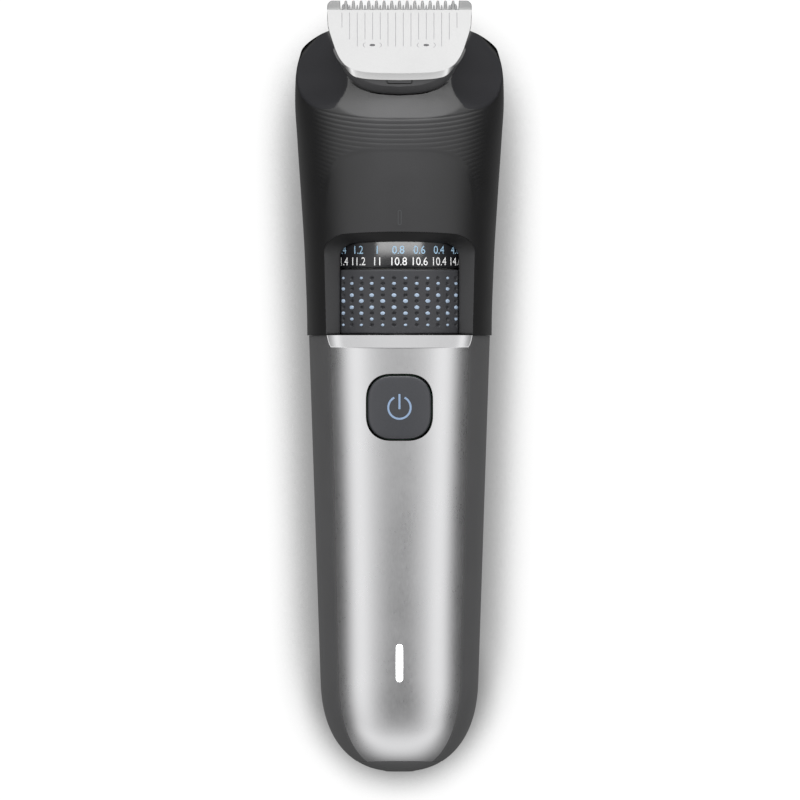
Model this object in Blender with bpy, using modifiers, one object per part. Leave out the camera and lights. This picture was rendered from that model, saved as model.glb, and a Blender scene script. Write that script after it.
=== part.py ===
"""Cordless beard trimmer with a zoom wheel, built as an assembly of separate pieces.

It lies on its back: +Z is the front face's direction, +Y runs towards the blade and X goes across.
The origin is the bottom centre of the whole. Dimensions below are in millimetres.
"""

import math

import bmesh
import bpy
from mathutils import Matrix, Vector

MM = 0.001

# Overall form
TIP_Y = -85.6  # bottom end of the grip
JOIN_Y = 11.45  # seam between the grip and the black head
HEAD_END_Y = 79.0
DOME_LENGTH = 20.5
DOME_POWER = 2.4
GRIP_WIDTH_JOIN = 20.1  # half-widths of the grip
GRIP_WIDTH_LOW = 17.55
FRONT_Z = 39.0  # highest front surface, at the window
SECTION_POWER = 2.4  # 2 is an ellipse, and more is squarer
FLAT_RATIO = 0.9375  # how much of the section's lower half is kept above the flat back
PARTING_DEG = 46.5  # edge of the metal front panel, as an angle from the front
PANEL_WALL = 1.2
SHELL_WALL = 1.8
GAP = 0.3

# Half-widths of the head along its length
HEAD_WIDTHS = [
    (11.6, 20.5), (28.0, 21.0), (41.4, 21.8), (54.8, 22.7), (63.6, 23.2), (68.1, 23.1),
    (70.8, 22.8), (73.4, 22.15), (74.8, 21.7), (76.1, 20.6), (77.4, 18.9), (78.3, 17.4), (79.0, 15.8),
]
# Front surface of the head along its length
HEAD_FRONT = [
    (11.6, 39.0), (38.0, 39.0), (45.0, 38.8), (52.0, 38.0), (56.0, 36.9), (59.6, 35.4),
    (63.9, 32.6), (64.3, 29.0), (75.0, 29.0), (77.4, 28.7), (79.0, 27.2),
]
# Back surface of the head along its length
HEAD_BACK = [(11.6, 0.0), (30.0, 0.0), (38.0, 0.5), (46.0, 1.5), (55.0, 3.2), (64.0, 5.4), (72.0, 7.8), (77.0, 10.2), (79.0, 12.4)]

# Wheel, scale and cam
WHEEL_AXIS_Z = 20.5
WHEEL_R = 17.0
SCALE_R = 16.6
WINDOW_HALF = 13.3
FRAME_HALF = 16.8
WINDOW_TOP = 32.2
FRAME_TOP = 34.3
STEPS_PER_TURN = 22
STROKE_PER_STEP = 0.2
CAM_PITCH = STEPS_PER_TURN * STROKE_PER_STEP  # carrier travel for one turn
CAM_R = 12.5
FOLLOWER_Y = 38.5

# Drive
CRANK = 0.45
LEVER_PIVOT_Y = 62.0
LEVER_TIP_Y = 75.0

# Cutting unit, in its own tilted frame
UNIT_AT = (0.0, 77.0, 34.2)
UNIT_TILT = math.radians(-6.0)
BLADE_HALF = 16.0
TOOTH_TIP = 8.65
TOOTH_ROOT = 6.85
TOOTH_PITCH = 1.70
HINGE_AT = (0.0, 80.6, 27.6)

# Button and light
BUTTON_Y = -4.64
BUTTON_HALF = 7.0
HOLE_HALF = 7.45
LIGHT_Y = -61.35


def start():
    for obj in list(bpy.data.objects):
        bpy.data.objects.remove(obj, do_unlink=True)
    made = []
    for name in ("beard_trimmer", "cutters"):
        collection = bpy.data.collections.new(name)
        bpy.context.scene.collection.children.link(collection)
        made.append(collection)
    made[1].hide_render = True
    return made


PARTS, CUTTERS = start()


def material(name, colour, roughness, metallic=0.0, emission=0.0):
    mat = bpy.data.materials.new(name)
    mat.use_nodes = True
    bsdf = mat.node_tree.nodes["Principled BSDF"]
    bsdf.inputs["Base Color"].default_value = (*colour, 1.0)
    bsdf.inputs["Roughness"].default_value = roughness
    bsdf.inputs["Metallic"].default_value = metallic
    if emission:
        bsdf.inputs["Emission Color"].default_value = (*colour, 1.0)
        bsdf.inputs["Emission Strength"].default_value = emission
    mat.diffuse_color = (*colour, 1.0)
    return mat


def finish(obj, mat_args, smooth=35):
    obj.data.materials.clear()
    obj.data.materials.append(material(obj.name, *mat_args))
    obj.data.shade_smooth()
    obj.data.set_sharp_from_angle(angle=math.radians(smooth))
    return obj


SILVER = ((0.72, 0.72, 0.72), 0.32, 1.0)
HOUSING = ((0.06, 0.06, 0.062), 0.45)
SHELL = ((0.018, 0.018, 0.02), 0.5)
GLOSS = ((0.006, 0.006, 0.007), 0.12)
STEEL = ((0.80, 0.80, 0.80), 0.30, 1.0)
CAST = ((0.55, 0.55, 0.56), 0.42, 1.0)
BRASS = ((0.75, 0.55, 0.25), 0.35, 1.0)
COPPER = ((0.82, 0.68, 0.42), 0.3, 1.0)
WHITE = ((0.62, 0.63, 0.64), 0.5)
GREY = ((0.22, 0.22, 0.23), 0.5)
BUTTON = ((0.068, 0.07, 0.076), 0.4)
RUBBER = ((0.015, 0.015, 0.015), 0.7)
BOARD = ((0.02, 0.16, 0.07), 0.4)
CELL = ((0.03, 0.12, 0.32), 0.4)
LIGHT = ((1.0, 1.0, 1.0), 0.3, 0.0, 3.0)


def place(name, mesh, at=(0, 0, 0), turn=(0, 0, 0), cutter=False):
    obj = bpy.data.objects.new(name, mesh)
    (CUTTERS if cutter else PARTS).objects.link(obj)
    obj.location = Vector(at) * MM
    obj.rotation_euler = turn
    if cutter:
        obj.hide_render = True
        obj.display_type = "WIRE"
    return obj


def box(name, x, y, z, cutter=False, bevel=0.0):
    """A box from its limits along X, Y and Z."""
    size = [(b - a) * MM for a, b in (x, y, z)]
    bm = bmesh.new()
    bmesh.ops.create_cube(bm, size=1.0, matrix=Matrix.Diagonal((*size, 1.0)))
    mesh = bpy.data.meshes.new(name)
    bm.to_mesh(mesh)
    bm.free()
    obj = place(name, mesh, [(a + b) / 2 for a, b in (x, y, z)], cutter=cutter)
    if bevel:
        rounded = obj.modifiers.new("rounded", "BEVEL")
        rounded.width = bevel * MM
        rounded.segments = 2
    return obj


TURN = {"X": (0, math.pi / 2, 0), "Y": (-math.pi / 2, 0, 0), "Z": (0, 0, 0)}


def rod(name, axis, at, radius, start, end, sides=24, cutter=False, bevel=0.0):
    """A round bar along X, Y or Z, from start to end on that axis; at gives the other two coordinates."""
    length = end - start
    bm = bmesh.new()
    bmesh.ops.create_cone(
        bm, cap_ends=True, cap_tris=False, segments=sides,
        radius1=radius * MM, radius2=radius * MM, depth=length * MM,
    )
    mesh = bpy.data.meshes.new(name)
    bm.to_mesh(mesh)
    bm.free()
    centre = list(at)
    centre.insert("XYZ".index(axis), (start + end) / 2)
    obj = place(name, mesh, centre, TURN[axis], cutter=cutter)
    if bevel:
        rounded = obj.modifiers.new("rounded", "BEVEL")
        rounded.width = bevel * MM
        rounded.segments = 2
        rounded.limit_method = "ANGLE"
    return obj


def turned(name, profile, z, steps=48, cutter=False):
    """A turned ring about the Y direction. The profile's (radius, y) points run down the outer side first."""
    mesh = bpy.data.meshes.new(name)
    bm = bmesh.new()
    verts = [bm.verts.new((r * MM, 0, y * MM)) for r, y in profile]
    for a, b in zip(verts, verts[1:] + verts[:1]):
        bm.edges.new((a, b))
    bm.to_mesh(mesh)
    bm.free()
    obj = place(name, mesh, (0, 0, z), TURN["Y"], cutter=cutter)
    screw = obj.modifiers.new("turned", "SCREW")
    screw.steps = screw.render_steps = steps
    screw.use_merge_vertices = True
    screw.merge_threshold = 0.00001
    return obj


def outline(name, loops, low, high, cutter=False, at=(0, 0, 0), turn=(0, 0, 0)):
    """A flat outline with its holes, extruded from low to high along its own Z."""
    curve = bpy.data.curves.new(name, "CURVE")
    curve.dimensions = "2D"
    curve.fill_mode = "BOTH"
    curve.extrude = (high - low) / 2 * MM
    for points in loops:
        spline = curve.splines.new("POLY")
        spline.points.add(len(points) - 1)
        for point, (x, y) in zip(spline.points, points):
            point.co = (x * MM, y * MM, 0, 1)
        spline.use_cyclic_u = True
    return to_mesh(name, curve, (low + high) / 2, cutter, at, turn)


def wire(name, points, radius, cutter=False, cyclic=False, resolution=2):
    """A round wire through the points."""
    curve = bpy.data.curves.new(name, "CURVE")
    curve.dimensions = "3D"
    curve.bevel_depth = radius * MM
    curve.bevel_resolution = resolution
    curve.use_fill_caps = True
    spline = curve.splines.new("POLY")
    spline.points.add(len(points) - 1)
    for point, (x, y, z) in zip(spline.points, points):
        point.co = (x * MM, y * MM, z * MM, 1)
    spline.use_cyclic_u = cyclic
    return to_mesh(name, curve, 0.0, cutter, (0, 0, 0), (0, 0, 0))


def to_mesh(name, curve, lift, cutter, at, turn):
    """Replaces a curve by its mesh with welded caps, moved up its own Z by lift."""
    guide = place(name + "_guide", curve)
    bpy.context.view_layer.update()
    graph = bpy.context.evaluated_depsgraph_get()
    mesh = bpy.data.meshes.new_from_object(guide.evaluated_get(graph))
    bpy.data.objects.remove(guide, do_unlink=True)
    bm = bmesh.new()
    bm.from_mesh(mesh)
    bmesh.ops.remove_doubles(bm, verts=bm.verts, dist=1e-6)
    bmesh.ops.translate(bm, verts=bm.verts, vec=(0, 0, lift * MM))
    bmesh.ops.recalc_face_normals(bm, faces=bm.faces)
    bm.to_mesh(mesh)
    bm.free()
    mesh.name = name
    return place(name, mesh, at, turn, cutter=cutter)


def rounded_box(half_x, half_y, radius, centre=(0, 0), power=2.0, steps=6):
    """The outline of a rectangle with rounded corners."""
    points = []
    for quarter in range(4):
        for i in range(steps + 1):
            angle = math.radians(90 * (quarter + i / steps))
            sx, sy = math.cos(angle), math.sin(angle)
            px = math.copysign(abs(sx) ** (2 / power), sx) * radius
            py = math.copysign(abs(sy) ** (2 / power), sy) * radius
            qx = (half_x - radius) * (1 if quarter in (0, 3) else -1)
            qy = (half_y - radius) * (1 if quarter in (0, 1) else -1)
            points.append((centre[0] + qx + px, centre[1] + qy + py))
    return points


def cut(obj, *cutters, operation="DIFFERENCE"):
    for cutter in cutters:
        change = obj.modifiers.new(operation.lower(), "BOOLEAN")
        change.operation = operation
        change.solver = "EXACT"
        change.object = cutter
    return obj


# ---- The outer form ----


def between(table, y):
    """Smooth value of a table of (y, value) stations."""
    if y <= table[0][0]:
        return table[0][1]
    for (y0, a), (y1, b) in zip(table, table[1:]):
        if y <= y1:
            return a + (b - a) * (y - y0) / (y1 - y0)
    return table[-1][1]


def dome(y):
    """0 at the bottom tip, rising to 1 where the grip's sides begin."""
    t = (y - TIP_Y) / DOME_LENGTH
    return 1.0 if t >= 1 else (1 - (1 - max(t, 0.0)) ** DOME_POWER) ** (1 / DOME_POWER)


def form(y):
    """(half-width, front, back, widest level) of the outer form at y."""
    if y > JOIN_Y:
        return between(HEAD_WIDTHS, y), between(HEAD_FRONT, y), between(HEAD_BACK, y), 19.5
    low = (y + 65.1) / (JOIN_Y + 65.1)
    width = GRIP_WIDTH_LOW + (GRIP_WIDTH_JOIN - GRIP_WIDTH_LOW) * low
    mid = 17.0 + 2.5 * max(low, 0.0)
    front = 34.4 + (FRONT_Z - 34.4) * low
    d = dome(y)
    return width * d, mid + (front - mid) * d, mid * (1 - d), mid


def skin(y, degrees):
    """A point of the outer form: 0 degrees is the front, 90 the right side, 180 the back."""
    width, front, back, mid = form(y)
    angle = math.radians(degrees)
    s, c = (math.copysign(abs(f(angle)) ** (2 / SECTION_POWER), f(angle)) for f in (math.sin, math.cos))
    ceiling = front
    if y > 64.0:
        front = max(front, 33.0 - 0.25 * (y - 64.0))
    if y > 75:
        front = ceiling + (front - ceiling) * (HEAD_END_Y - y) / 4.0
    z = mid + (front - mid) * c if c >= 0 else max(back, mid + (mid - back) / FLAT_RATIO * c)
    return (width * s * MM, y * MM, min(z, ceiling) * MM)


def loft(name, stations, angles, wall, around=False, cap=False):
    """A shell through the outer form: an open surface, thickened inwards."""
    bm = bmesh.new()
    rows = [[bm.verts.new(skin(y, a)) for a in angles] for y in stations]
    count = len(angles)
    for low, high in zip(rows, rows[1:]):
        for j in range(count if around else count - 1):
            k = (j + 1) % count
            bm.faces.new((low[j], low[k], high[k], high[j]))
    if cap:
        bm.faces.new(rows[-1])
    mesh = bpy.data.meshes.new(name)
    bm.to_mesh(mesh)
    bm.free()
    obj = place(name, mesh)
    thick = obj.modifiers.new("wall", "SOLIDIFY")
    thick.thickness = wall * MM
    thick.offset = -1.0
    thick.use_even_offset = True
    return obj


def spread(start, end, count):
    return [start + (end - start) * i / count for i in range(count + 1)]


CREASE = 180 - math.degrees(math.acos(FLAT_RATIO ** (SECTION_POWER / 2)))
GRIP_STATIONS = [-83.3, -82.4, -80.8, -78.6, -75.8, -72.2, -68.2, -64.0, -52.0, -40.0, -28.0, -16.0, -2.0, 11.3]

# ---- Grip ----

front_panel = loft("front_panel", GRIP_STATIONS, spread(-PARTING_DEG, PARTING_DEG, 14), PANEL_WALL)
hole = outline("button_hole", [rounded_box(HOLE_HALF, HOLE_HALF, 6.0, (0, BUTTON_Y))], 28, 44, cutter=True)
slot = outline("light_hole", [rounded_box(1.15, 4.6, 1.14, (0, LIGHT_Y))], 28, 44, cutter=True)
cut(front_panel, hole, slot)
finish(front_panel, SILVER)

side = PARTING_DEG + 1.8
rear_angles = [side] + spread(60, 150, 9) + [CREASE, 360 - CREASE] + spread(210, 300, 9) + [360 - side]
rear_housing = loft("rear_housing", GRIP_STATIONS, rear_angles, SHELL_WALL)
finish(rear_housing, HOUSING)

# The plug that closes the bottom end, with the charging inlet in it.
END_MID = 17.0
INLET_Z = 13.4


def end_ring(y, grow=1.0):
    """A ring of the domed bottom end at y, or a smaller copy of it."""
    ring = []
    for i in range(28):
        angle = 2 * math.pi * i / 28
        width, height = 16.85 * dome(y) * grow, 16.9 * dome(y) * grow
        s, c = (math.copysign(abs(f(angle)) ** (2 / SECTION_POWER), f(angle)) for f in (math.sin, math.cos))
        ring.append((width * s, height * c))
    return ring


def end_plug():
    bm = bmesh.new()
    stations = [(-83.6, -83.6, 1.0), (-84.4, -84.4, 1.0), (-85.25, -85.25, 1.0), (-85.48, -85.48, 1.0), (TIP_Y, -85.48, 0.72)]
    rings = []
    for y, source, grow in stations:
        rings.append([bm.verts.new((x * MM, y * MM, (END_MID + z) * MM)) for x, z in end_ring(source, grow)])
    for low, high in zip(rings, rings[1:]):
        for j in range(28):
            k = (j + 1) % 28
            bm.faces.new((low[j], high[j], high[k], low[k]))
    bm.faces.new(rings[0])
    bm.faces.new(rings[-1])
    bmesh.ops.recalc_face_normals(bm, faces=bm.faces)
    mesh = bpy.data.meshes.new("bottom_cap")
    bm.to_mesh(mesh)
    bm.free()
    return place("bottom_cap", mesh)


bottom_cap = end_plug()
sleeve = outline("cap_sleeve", [rounded_box(5.4, 3.2, 2.8)], -0.4, 3.9, cutter=True, at=(0, -83.6, INLET_Z), turn=(-math.pi / 2, 0, 0))
inlet = outline("inlet_hole", [rounded_box(4.4, 2.25, 1.5)], -4.0, 9.0, cutter=True, at=(0, -83.6, INLET_Z), turn=(-math.pi / 2, 0, 0))
cut(bottom_cap, sleeve, operation="UNION")
cut(bottom_cap, inlet)
finish(bottom_cap, HOUSING)

charging_socket = outline("charging_socket", [rounded_box(5.4, 3.2, 1.0)], 0.0, 3.0, at=(0, -79.3, INLET_Z), turn=(-math.pi / 2, 0, 0))
socket_holes = [
    rod(f"socket_hole_{i}", "Y", (x, INLET_Z), 0.85, -82, -74, 12, cutter=True) for i, x in enumerate((-2.0, 2.0))
]
cut(charging_socket, *socket_holes)
finish(charging_socket, GREY)
for label, x in (("left", -2.0), ("right", 2.0)):
    finish(rod(f"socket_pin_{label}", "Y", (x, INLET_Z), 0.5, -81.2, -75.0, 12), COPPER)

# ---- Head ----

HEAD_STATIONS = [11.6, 22.0, 30.0, 38.0, 45.0, 52.0, 56.0, 59.6, 63.9, 64.3, 69.0, 73.4, 75.6, 77.4, 78.4, 79.0]
head_angles = spread(0, 150, 15) + [CREASE, 360 - CREASE] + spread(210, 350, 14)
head_shell = loft("head_shell", HEAD_STATIONS, head_angles, SHELL_WALL, around=True, cap=True)
window_cut = box("window_cut", (-FRAME_HALF - GAP, FRAME_HALF + GAP), (5, FRAME_TOP + GAP), (24.5, 46), cutter=True)
lever_cut = box("lever_cut", (-3.5, 3.5), (72.7, 77.0), (24, 34), cutter=True)
carrier_cut = box("carrier_cut", (-2.6, 2.6), (35.8, 46.4), (-4, 6), cutter=True)
cut(head_shell, window_cut, lever_cut, carrier_cut)
finish(head_shell, SHELL)


def bezel():
    """The window's frame follows the front of the head between its two straight sides."""
    bm = bmesh.new()
    across = spread(-FRAME_HALF, FRAME_HALF, 16)
    rows = []
    for y in (11.75, 18.0, 26.0, 32.0, FRAME_TOP):
        width, front, _, mid = form(y)
        rows.append([bm.verts.new((x * MM, y * MM, (mid + (front - mid) * (1 - abs(x / width) ** SECTION_POWER) ** (1 / SECTION_POWER)) * MM)) for x in across])
    for low, high in zip(rows, rows[1:]):
        for j in range(len(across) - 1):
            bm.faces.new((low[j], low[j + 1], high[j + 1], high[j]))
    mesh = bpy.data.meshes.new("window_frame")
    bm.to_mesh(mesh)
    bm.free()
    obj = place("window_frame", mesh)
    thick = obj.modifiers.new("wall", "SOLIDIFY")
    thick.thickness = 1.2 * MM
    thick.offset = -1.0
    opening = outline(
        "window_opening", [rounded_box(WINDOW_HALF, 17.0, 5.0, (0, WINDOW_TOP - 17.0))], 20, 46, cutter=True
    )
    return cut(obj, opening)


finish(bezel(), SHELL)

# ---- Wheel ----

wheel = turned(
    "zoom_wheel",
    [(WHEEL_R - 0.35, 25.9), (WHEEL_R, 25.55), (WHEEL_R, 11.95), (WHEEL_R - 0.35, 11.6), (14.5, 11.6), (14.5, 25.9)],
    WHEEL_AXIS_Z,
)
finish(wheel, GREY)
scale = turned("scale_ring", [(SCALE_R, 33.2), (SCALE_R, 26.2), (14.5, 26.2), (14.5, 33.2)], WHEEL_AXIS_Z)
finish(scale, GLOSS)
barrel = turned(
    "cam_barrel",
    [(CAM_R, 44.5), (CAM_R, 34.4), (14.2, 33.2), (14.2, 18.0), (12.6, 18.0), (12.6, 33.0), (10.6, 34.6), (10.6, 44.5)],
    WHEEL_AXIS_Z,
)


def groove(turn):
    """The cam groove's centre where the follower stands after the wheel has turned."""
    return (
        (CAM_R + 0.1) * math.sin(turn),
        FOLLOWER_Y + CAM_PITCH * turn / (2 * math.pi),
        WHEEL_AXIS_Z - (CAM_R + 0.1) * math.cos(turn),
    )


track = wire(
    "cam_track", [groove(math.radians(a)) for a in spread(-40, 318, 40)], 1.35, cutter=True, resolution=1
)
cut(barrel, track)
finish(barrel, WHITE)

carrier = box("comb_carrier", (-7.0, 7.0), (36.0, 42.0), (3.3, 7.7), bevel=0.5)
neck = box("carrier_neck", (-2.2, 2.2), (37.0, 41.5), (0.75, 4.0), cutter=True)
follower = rod("carrier_follower", "Z", (0, FOLLOWER_Y), 0.6, 5.0, 8.5, 16, cutter=True)
cut(carrier, neck, follower, operation="UNION")
finish(carrier, GREY)

finish(turned("wheel_bush", [(14.2, 17.6), (14.2, 12.0), (12.7, 12.0), (12.7, 17.6)], WHEEL_AXIS_Z, 40), WHITE)
leaf = [(-5.4, 9.7), (-1.8, 10.2), (0.0, 11.0), (1.8, 10.2), (5.4, 9.7)]
leaf += [(x, y - 0.35) for x, y in reversed(leaf)]
finish(outline("detent_spring", [leaf], 5.6, 7.8), STEEL)

# ---- Drive ----

finish(rod("motor_can", "Y", (0, WHEEL_AXIS_Z), 8.5, -16.0, 8.3, 32, bevel=0.8), CAST)
mount = box("motor_mount", (-11.0, 11.0), (8.6, 10.4), (11.5, 29.2), bevel=0.4)
cut(
    mount,
    rod("mount_hole", "Y", (0, WHEEL_AXIS_Z), 3.0, 5, 14, 24, cutter=True),
    rod("mount_hole_left", "Y", (-6.0, WHEEL_AXIS_Z), 1.35, 5, 14, 16, cutter=True),
    rod("mount_hole_right", "Y", (6.0, WHEEL_AXIS_Z), 1.35, 5, 14, 16, cutter=True),
)
finish(mount, WHITE)


def fastener(name, axis, at, seat, direction, shank_r, shank, head_r, head):
    """A pan-head screw: its head stands on the seat and its shank goes the other way."""
    body = rod(name, axis, at, head_r, *sorted((seat, seat + direction * head)), 14, bevel=0.2)
    shaft = rod(name + "_shank", axis, at, shank_r, *sorted((seat + direction * 0.3, seat - direction * shank)), 12, cutter=True)
    cut(body, shaft, operation="UNION")
    if axis == "Y":
        slotted = box(name + "_slot", (at[0] - 0.22, at[0] + 0.22), sorted((seat + direction * (head - 0.4), seat + direction * (head + 1))), (at[1] - 3, at[1] + 3), cutter=True)
    else:
        slotted = box(name + "_slot", (at[0] - 0.22, at[0] + 0.22), (at[1] - 3, at[1] + 3), sorted((seat + direction * (head - 0.4), seat + direction * (head + 1))), cutter=True)
    cut(body, slotted)
    return finish(body, STEEL)


fastener("motor_screw_left", "Y", (-6.0, WHEEL_AXIS_Z), 10.7, 1, 1.0, 2.0, 1.9, 1.1)
fastener("motor_screw_right", "Y", (6.0, WHEEL_AXIS_Z), 10.7, 1, 1.0, 2.0, 1.9, 1.1)

finish(rod("motor_shaft", "Y", (0, WHEEL_AXIS_Z), 2.4, 8.65, 16.0, 20, bevel=0.3), STEEL)
finish(rod("drive_shaft", "Y", (0, WHEEL_AXIS_Z), 1.5, 16.3, 51.0, 20), STEEL)
bearing = turned("shaft_bearing", [(3.6, 49.6), (3.6, 46.4), (1.8, 46.4), (1.8, 49.6)], WHEEL_AXIS_Z, 24)
finish(bearing, BRASS)
bracket = box("bearing_bracket", (-15.0, 15.0), (46.2, 49.8), (12.5, 28.5), bevel=0.6)
cut(bracket, rod("bracket_hole", "Y", (0, WHEEL_AXIS_Z), 3.9, 44, 52, 24, cutter=True))
finish(bracket, WHITE)
eccentric = rod("eccentric", "Y", (0, WHEEL_AXIS_Z), 3.6, 51.3, 53.0, 24, bevel=0.2)
cut(eccentric, rod("crank_pin", "Y", (0, WHEEL_AXIS_Z + CRANK), 0.8, 52.6, 57.2, 16, cutter=True), operation="UNION")
finish(eccentric, BRASS)

# The lever's side view, in Y and Z.
side_view = [
    (54.0, 17.0), (65.4, 17.0), (65.4, 23.6), (76.4, 23.6), (76.4, 26.0), (62.6, 26.0), (59.0, 24.0), (54.0, 24.0),
]
lever = outline(
    "drive_lever", [side_view], -3.4, 3.4, at=(0, 0, 0), turn=(0, 0, 0)
)
lever.data.transform(Matrix(((0, 0, 1, 0), (1, 0, 0, 0), (0, 1, 0, 0), (0, 0, 0, 1))))
cut(
    lever,
    box("lever_slot", (-1.95, 1.95), (53.0, 58.2), (15, 28), cutter=True),
    rod("lever_bore", "Z", (0, LEVER_PIVOT_Y), 1.3, 14, 30, 20, cutter=True),
    rod("lever_tip_bore", "Z", (0, LEVER_TIP_Y), 1.1, 22, 28, 16, cutter=True),
)
finish(lever, GREY)
finish(rod("lever_pin", "Z", (0, LEVER_TIP_Y), 0.8, 23.8, 31.8, 16, bevel=0.2), STEEL)
finish(rod("lever_pivot_pin", "Z", (0, LEVER_PIVOT_Y), 1.0, 12.8, 26.6, 20), STEEL)
support = box("lever_support", (-9.0, 9.0), (58.6, 66.0), (12.2, 16.6), bevel=0.5)
cut(support, rod("support_bore", "Z", (0, LEVER_PIVOT_Y), 1.3, 12.5, 18, 20, cutter=True))
finish(support, WHITE)

# ---- Cutting unit, drawn flat in its own frame: n is the height over the blade's face ----


def unit(name, loops, low, high, cutter=False):
    return outline(name, loops, low, high, cutter, UNIT_AT, (UNIT_TILT, 0, 0))


def blade_outline(inset=0.0):
    """The blade's sides and its bowed lower edge, right half from the tip end down, then mirrored."""
    right = [
        (BLADE_HALF, 6.5), (BLADE_HALF - 0.1, 3.0), (15.2, 0.4), (14.4, -2.0), (13.4, -4.2),
        (12.0, -5.9), (9.8, -7.0), (6.6, -7.5), (0.0, -7.7),
    ]
    right = [(x - inset * (x > 0), y + (inset if y < -1 else 0)) for x, y in right]
    return right + [(-x, y) for x, y in reversed(right[:-1])]


def teeth(half, tip, root, pitch, count, end_block, tip_width, root_width):
    """A comb edge from the left end to the right: an end block, narrow teeth and an end block."""
    points = [(-half, root - 0.2), (-half, tip - 0.8), (-half + 0.25, tip - 0.25), (-half + 0.8, tip)]
    points.append((-half + end_block - 0.2, tip))
    points.append((-half + end_block, root))
    for i in range(count):
        x = (i - (count - 1) / 2) * pitch
        points += [(x - root_width / 2, root), (x - tip_width / 2, tip), (x + tip_width / 2, tip), (x + root_width / 2, root)]
    points.append((half - end_block, root))
    points.append((half - end_block + 0.2, tip))
    points += [(half - 0.8, tip), (half - 0.25, tip - 0.25), (half, tip - 0.8), (half, root - 0.2)]
    return points


guard = teeth(BLADE_HALF, TOOTH_TIP, TOOTH_ROOT, TOOTH_PITCH, 15, 2.95, 0.45, 0.85)
guard += blade_outline()
guard_blade = unit("guard_blade", [guard], -0.8, 0.0)
finish(guard_blade, STEEL)

moving = teeth(12.9, 7.65, 6.0, TOOTH_PITCH, 13, 1.9, 0.45, 0.9) + [(12.9, -2.0), (-12.9, -2.0)]
moving_cutter = unit("moving_cutter", [moving], -1.8, -1.1)
finish(moving_cutter, STEEL)

base_outer = [
    (15.4, 6.0), (15.4, 3.0), (14.9, 0.3), (14.2, -2.1), (13.4, -4.4), (12.4, -6.4), (10.8, -8.6),
    (8.0, -10.6), (4.0, -11.7), (0.0, -12.0),
]
base_outer = base_outer + [(-x, y) for x, y in reversed(base_outer[:-1])]
base_inner = [(14.1, 6.0), (14.1, 1.0), (13.6, -3.0), (10.5, -5.2), (-10.5, -5.2), (-13.6, -3.0), (-14.1, 1.0), (-14.1, 6.0)]
blade_base = unit("blade_base", [base_outer + base_inner[::-1]], -4.5, -1.1)
# Ears that hang from the base's sides round the hinge pins.
ears = []
for sign, label in ((-1, "left"), (1, "right")):
    x = sorted((sign * 12.9, sign * 15.3))
    ears.append(box(f"base_ear_{label}", x, (79.3, 81.8), (26.2, 31.4), cutter=True))
cut(blade_base, *ears, operation="UNION")
latch = unit("latch_notch", [[(-2.9, -10.2), (2.9, -10.2), (2.9, -8.0), (-2.9, -8.0)]], -2.6, 2.0, cutter=True)
cut(blade_base, rod("ear_bore", "X", HINGE_AT[1:], 1.1, -20, 20, 16, cutter=True), latch)
finish(blade_base, SHELL)

yoke = box("cutter_yoke", (-3.6, 3.6), (-4.85, 1.2), (-4.4, -2.1))
yoke.location = Vector(UNIT_AT) * MM + Matrix.Rotation(UNIT_TILT, 3, "X") @ yoke.location
yoke.rotation_euler = (UNIT_TILT, 0, 0)
cut(yoke, box("yoke_slot", (-1.1, 1.1), (LEVER_TIP_Y - 2.2, LEVER_TIP_Y + 2.2), (28.0, 32.05), cutter=True))
finish(yoke, GREY)


def from_unit(x, y, n):
    v = Vector(UNIT_AT) + Matrix.Rotation(UNIT_TILT, 3, "X") @ Vector((x, y, n))
    return (v.x, v.y, v.z)


spring_path = [(-12.0, -2.6), (-11.4, 1.6), (-9.0, 3.6), (-5.0, 3.2), (0.0, 3.0), (5.0, 3.2), (9.0, 3.6), (11.4, 1.6), (12.0, -2.6)]
finish(wire("cutter_spring", [from_unit(x, y, -2.6) for x, y in spring_path], 0.35), STEEL)

plate = box("hinge_bracket", (-12.6, 12.6), (79.3, 80.3), (21.5, 28.8), bevel=0.15)
for sign, label in ((-1, "left"), (1, "right")):
    x = sorted((sign * 10.4, sign * 12.6))
    cut(plate, box(f"bracket_ear_{label}", x, (79.6, 81.8), (26.3, 28.7), cutter=True), operation="UNION")
cut(plate, rod("bracket_bore", "X", HINGE_AT[1:], 1.1, -20, 20, 16, cutter=True))
finish(plate, STEEL)
for sign, label in ((-1, "left"), (1, "right")):
    ends = sorted((sign * 10.5, sign * 15.2))
    finish(rod(f"hinge_pin_{label}", "X", HINGE_AT[1:], 0.8, *ends, 16), STEEL)

# ---- Inside the grip ----

tray = box("chassis", (-8.9, 8.9), (-69.8, 8.0), (5.0, 13.0))
cut(
    tray,
    box("chassis_pocket", (-7.6, 7.6), (-68.9, -17.2), (6.5, 20.0), cutter=True),
    box("motor_pocket", (-12.0, 12.0), (-16.6, 9.0), (6.5, 20.0), cutter=True),
)
finish(tray, WHITE)
finish(rod("battery_cell", "Y", (0, 14.2), 7.0, -67.4, -19.4, 28, bevel=0.6), CELL)
for label, y in (("front", (-19.0, -18.6)), ("rear", (-68.2, -67.8))):
    finish(box(f"battery_tab_{label}", (-3.0, 3.0), y, (9.0, 20.0), bevel=0.1), BRASS)

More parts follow.
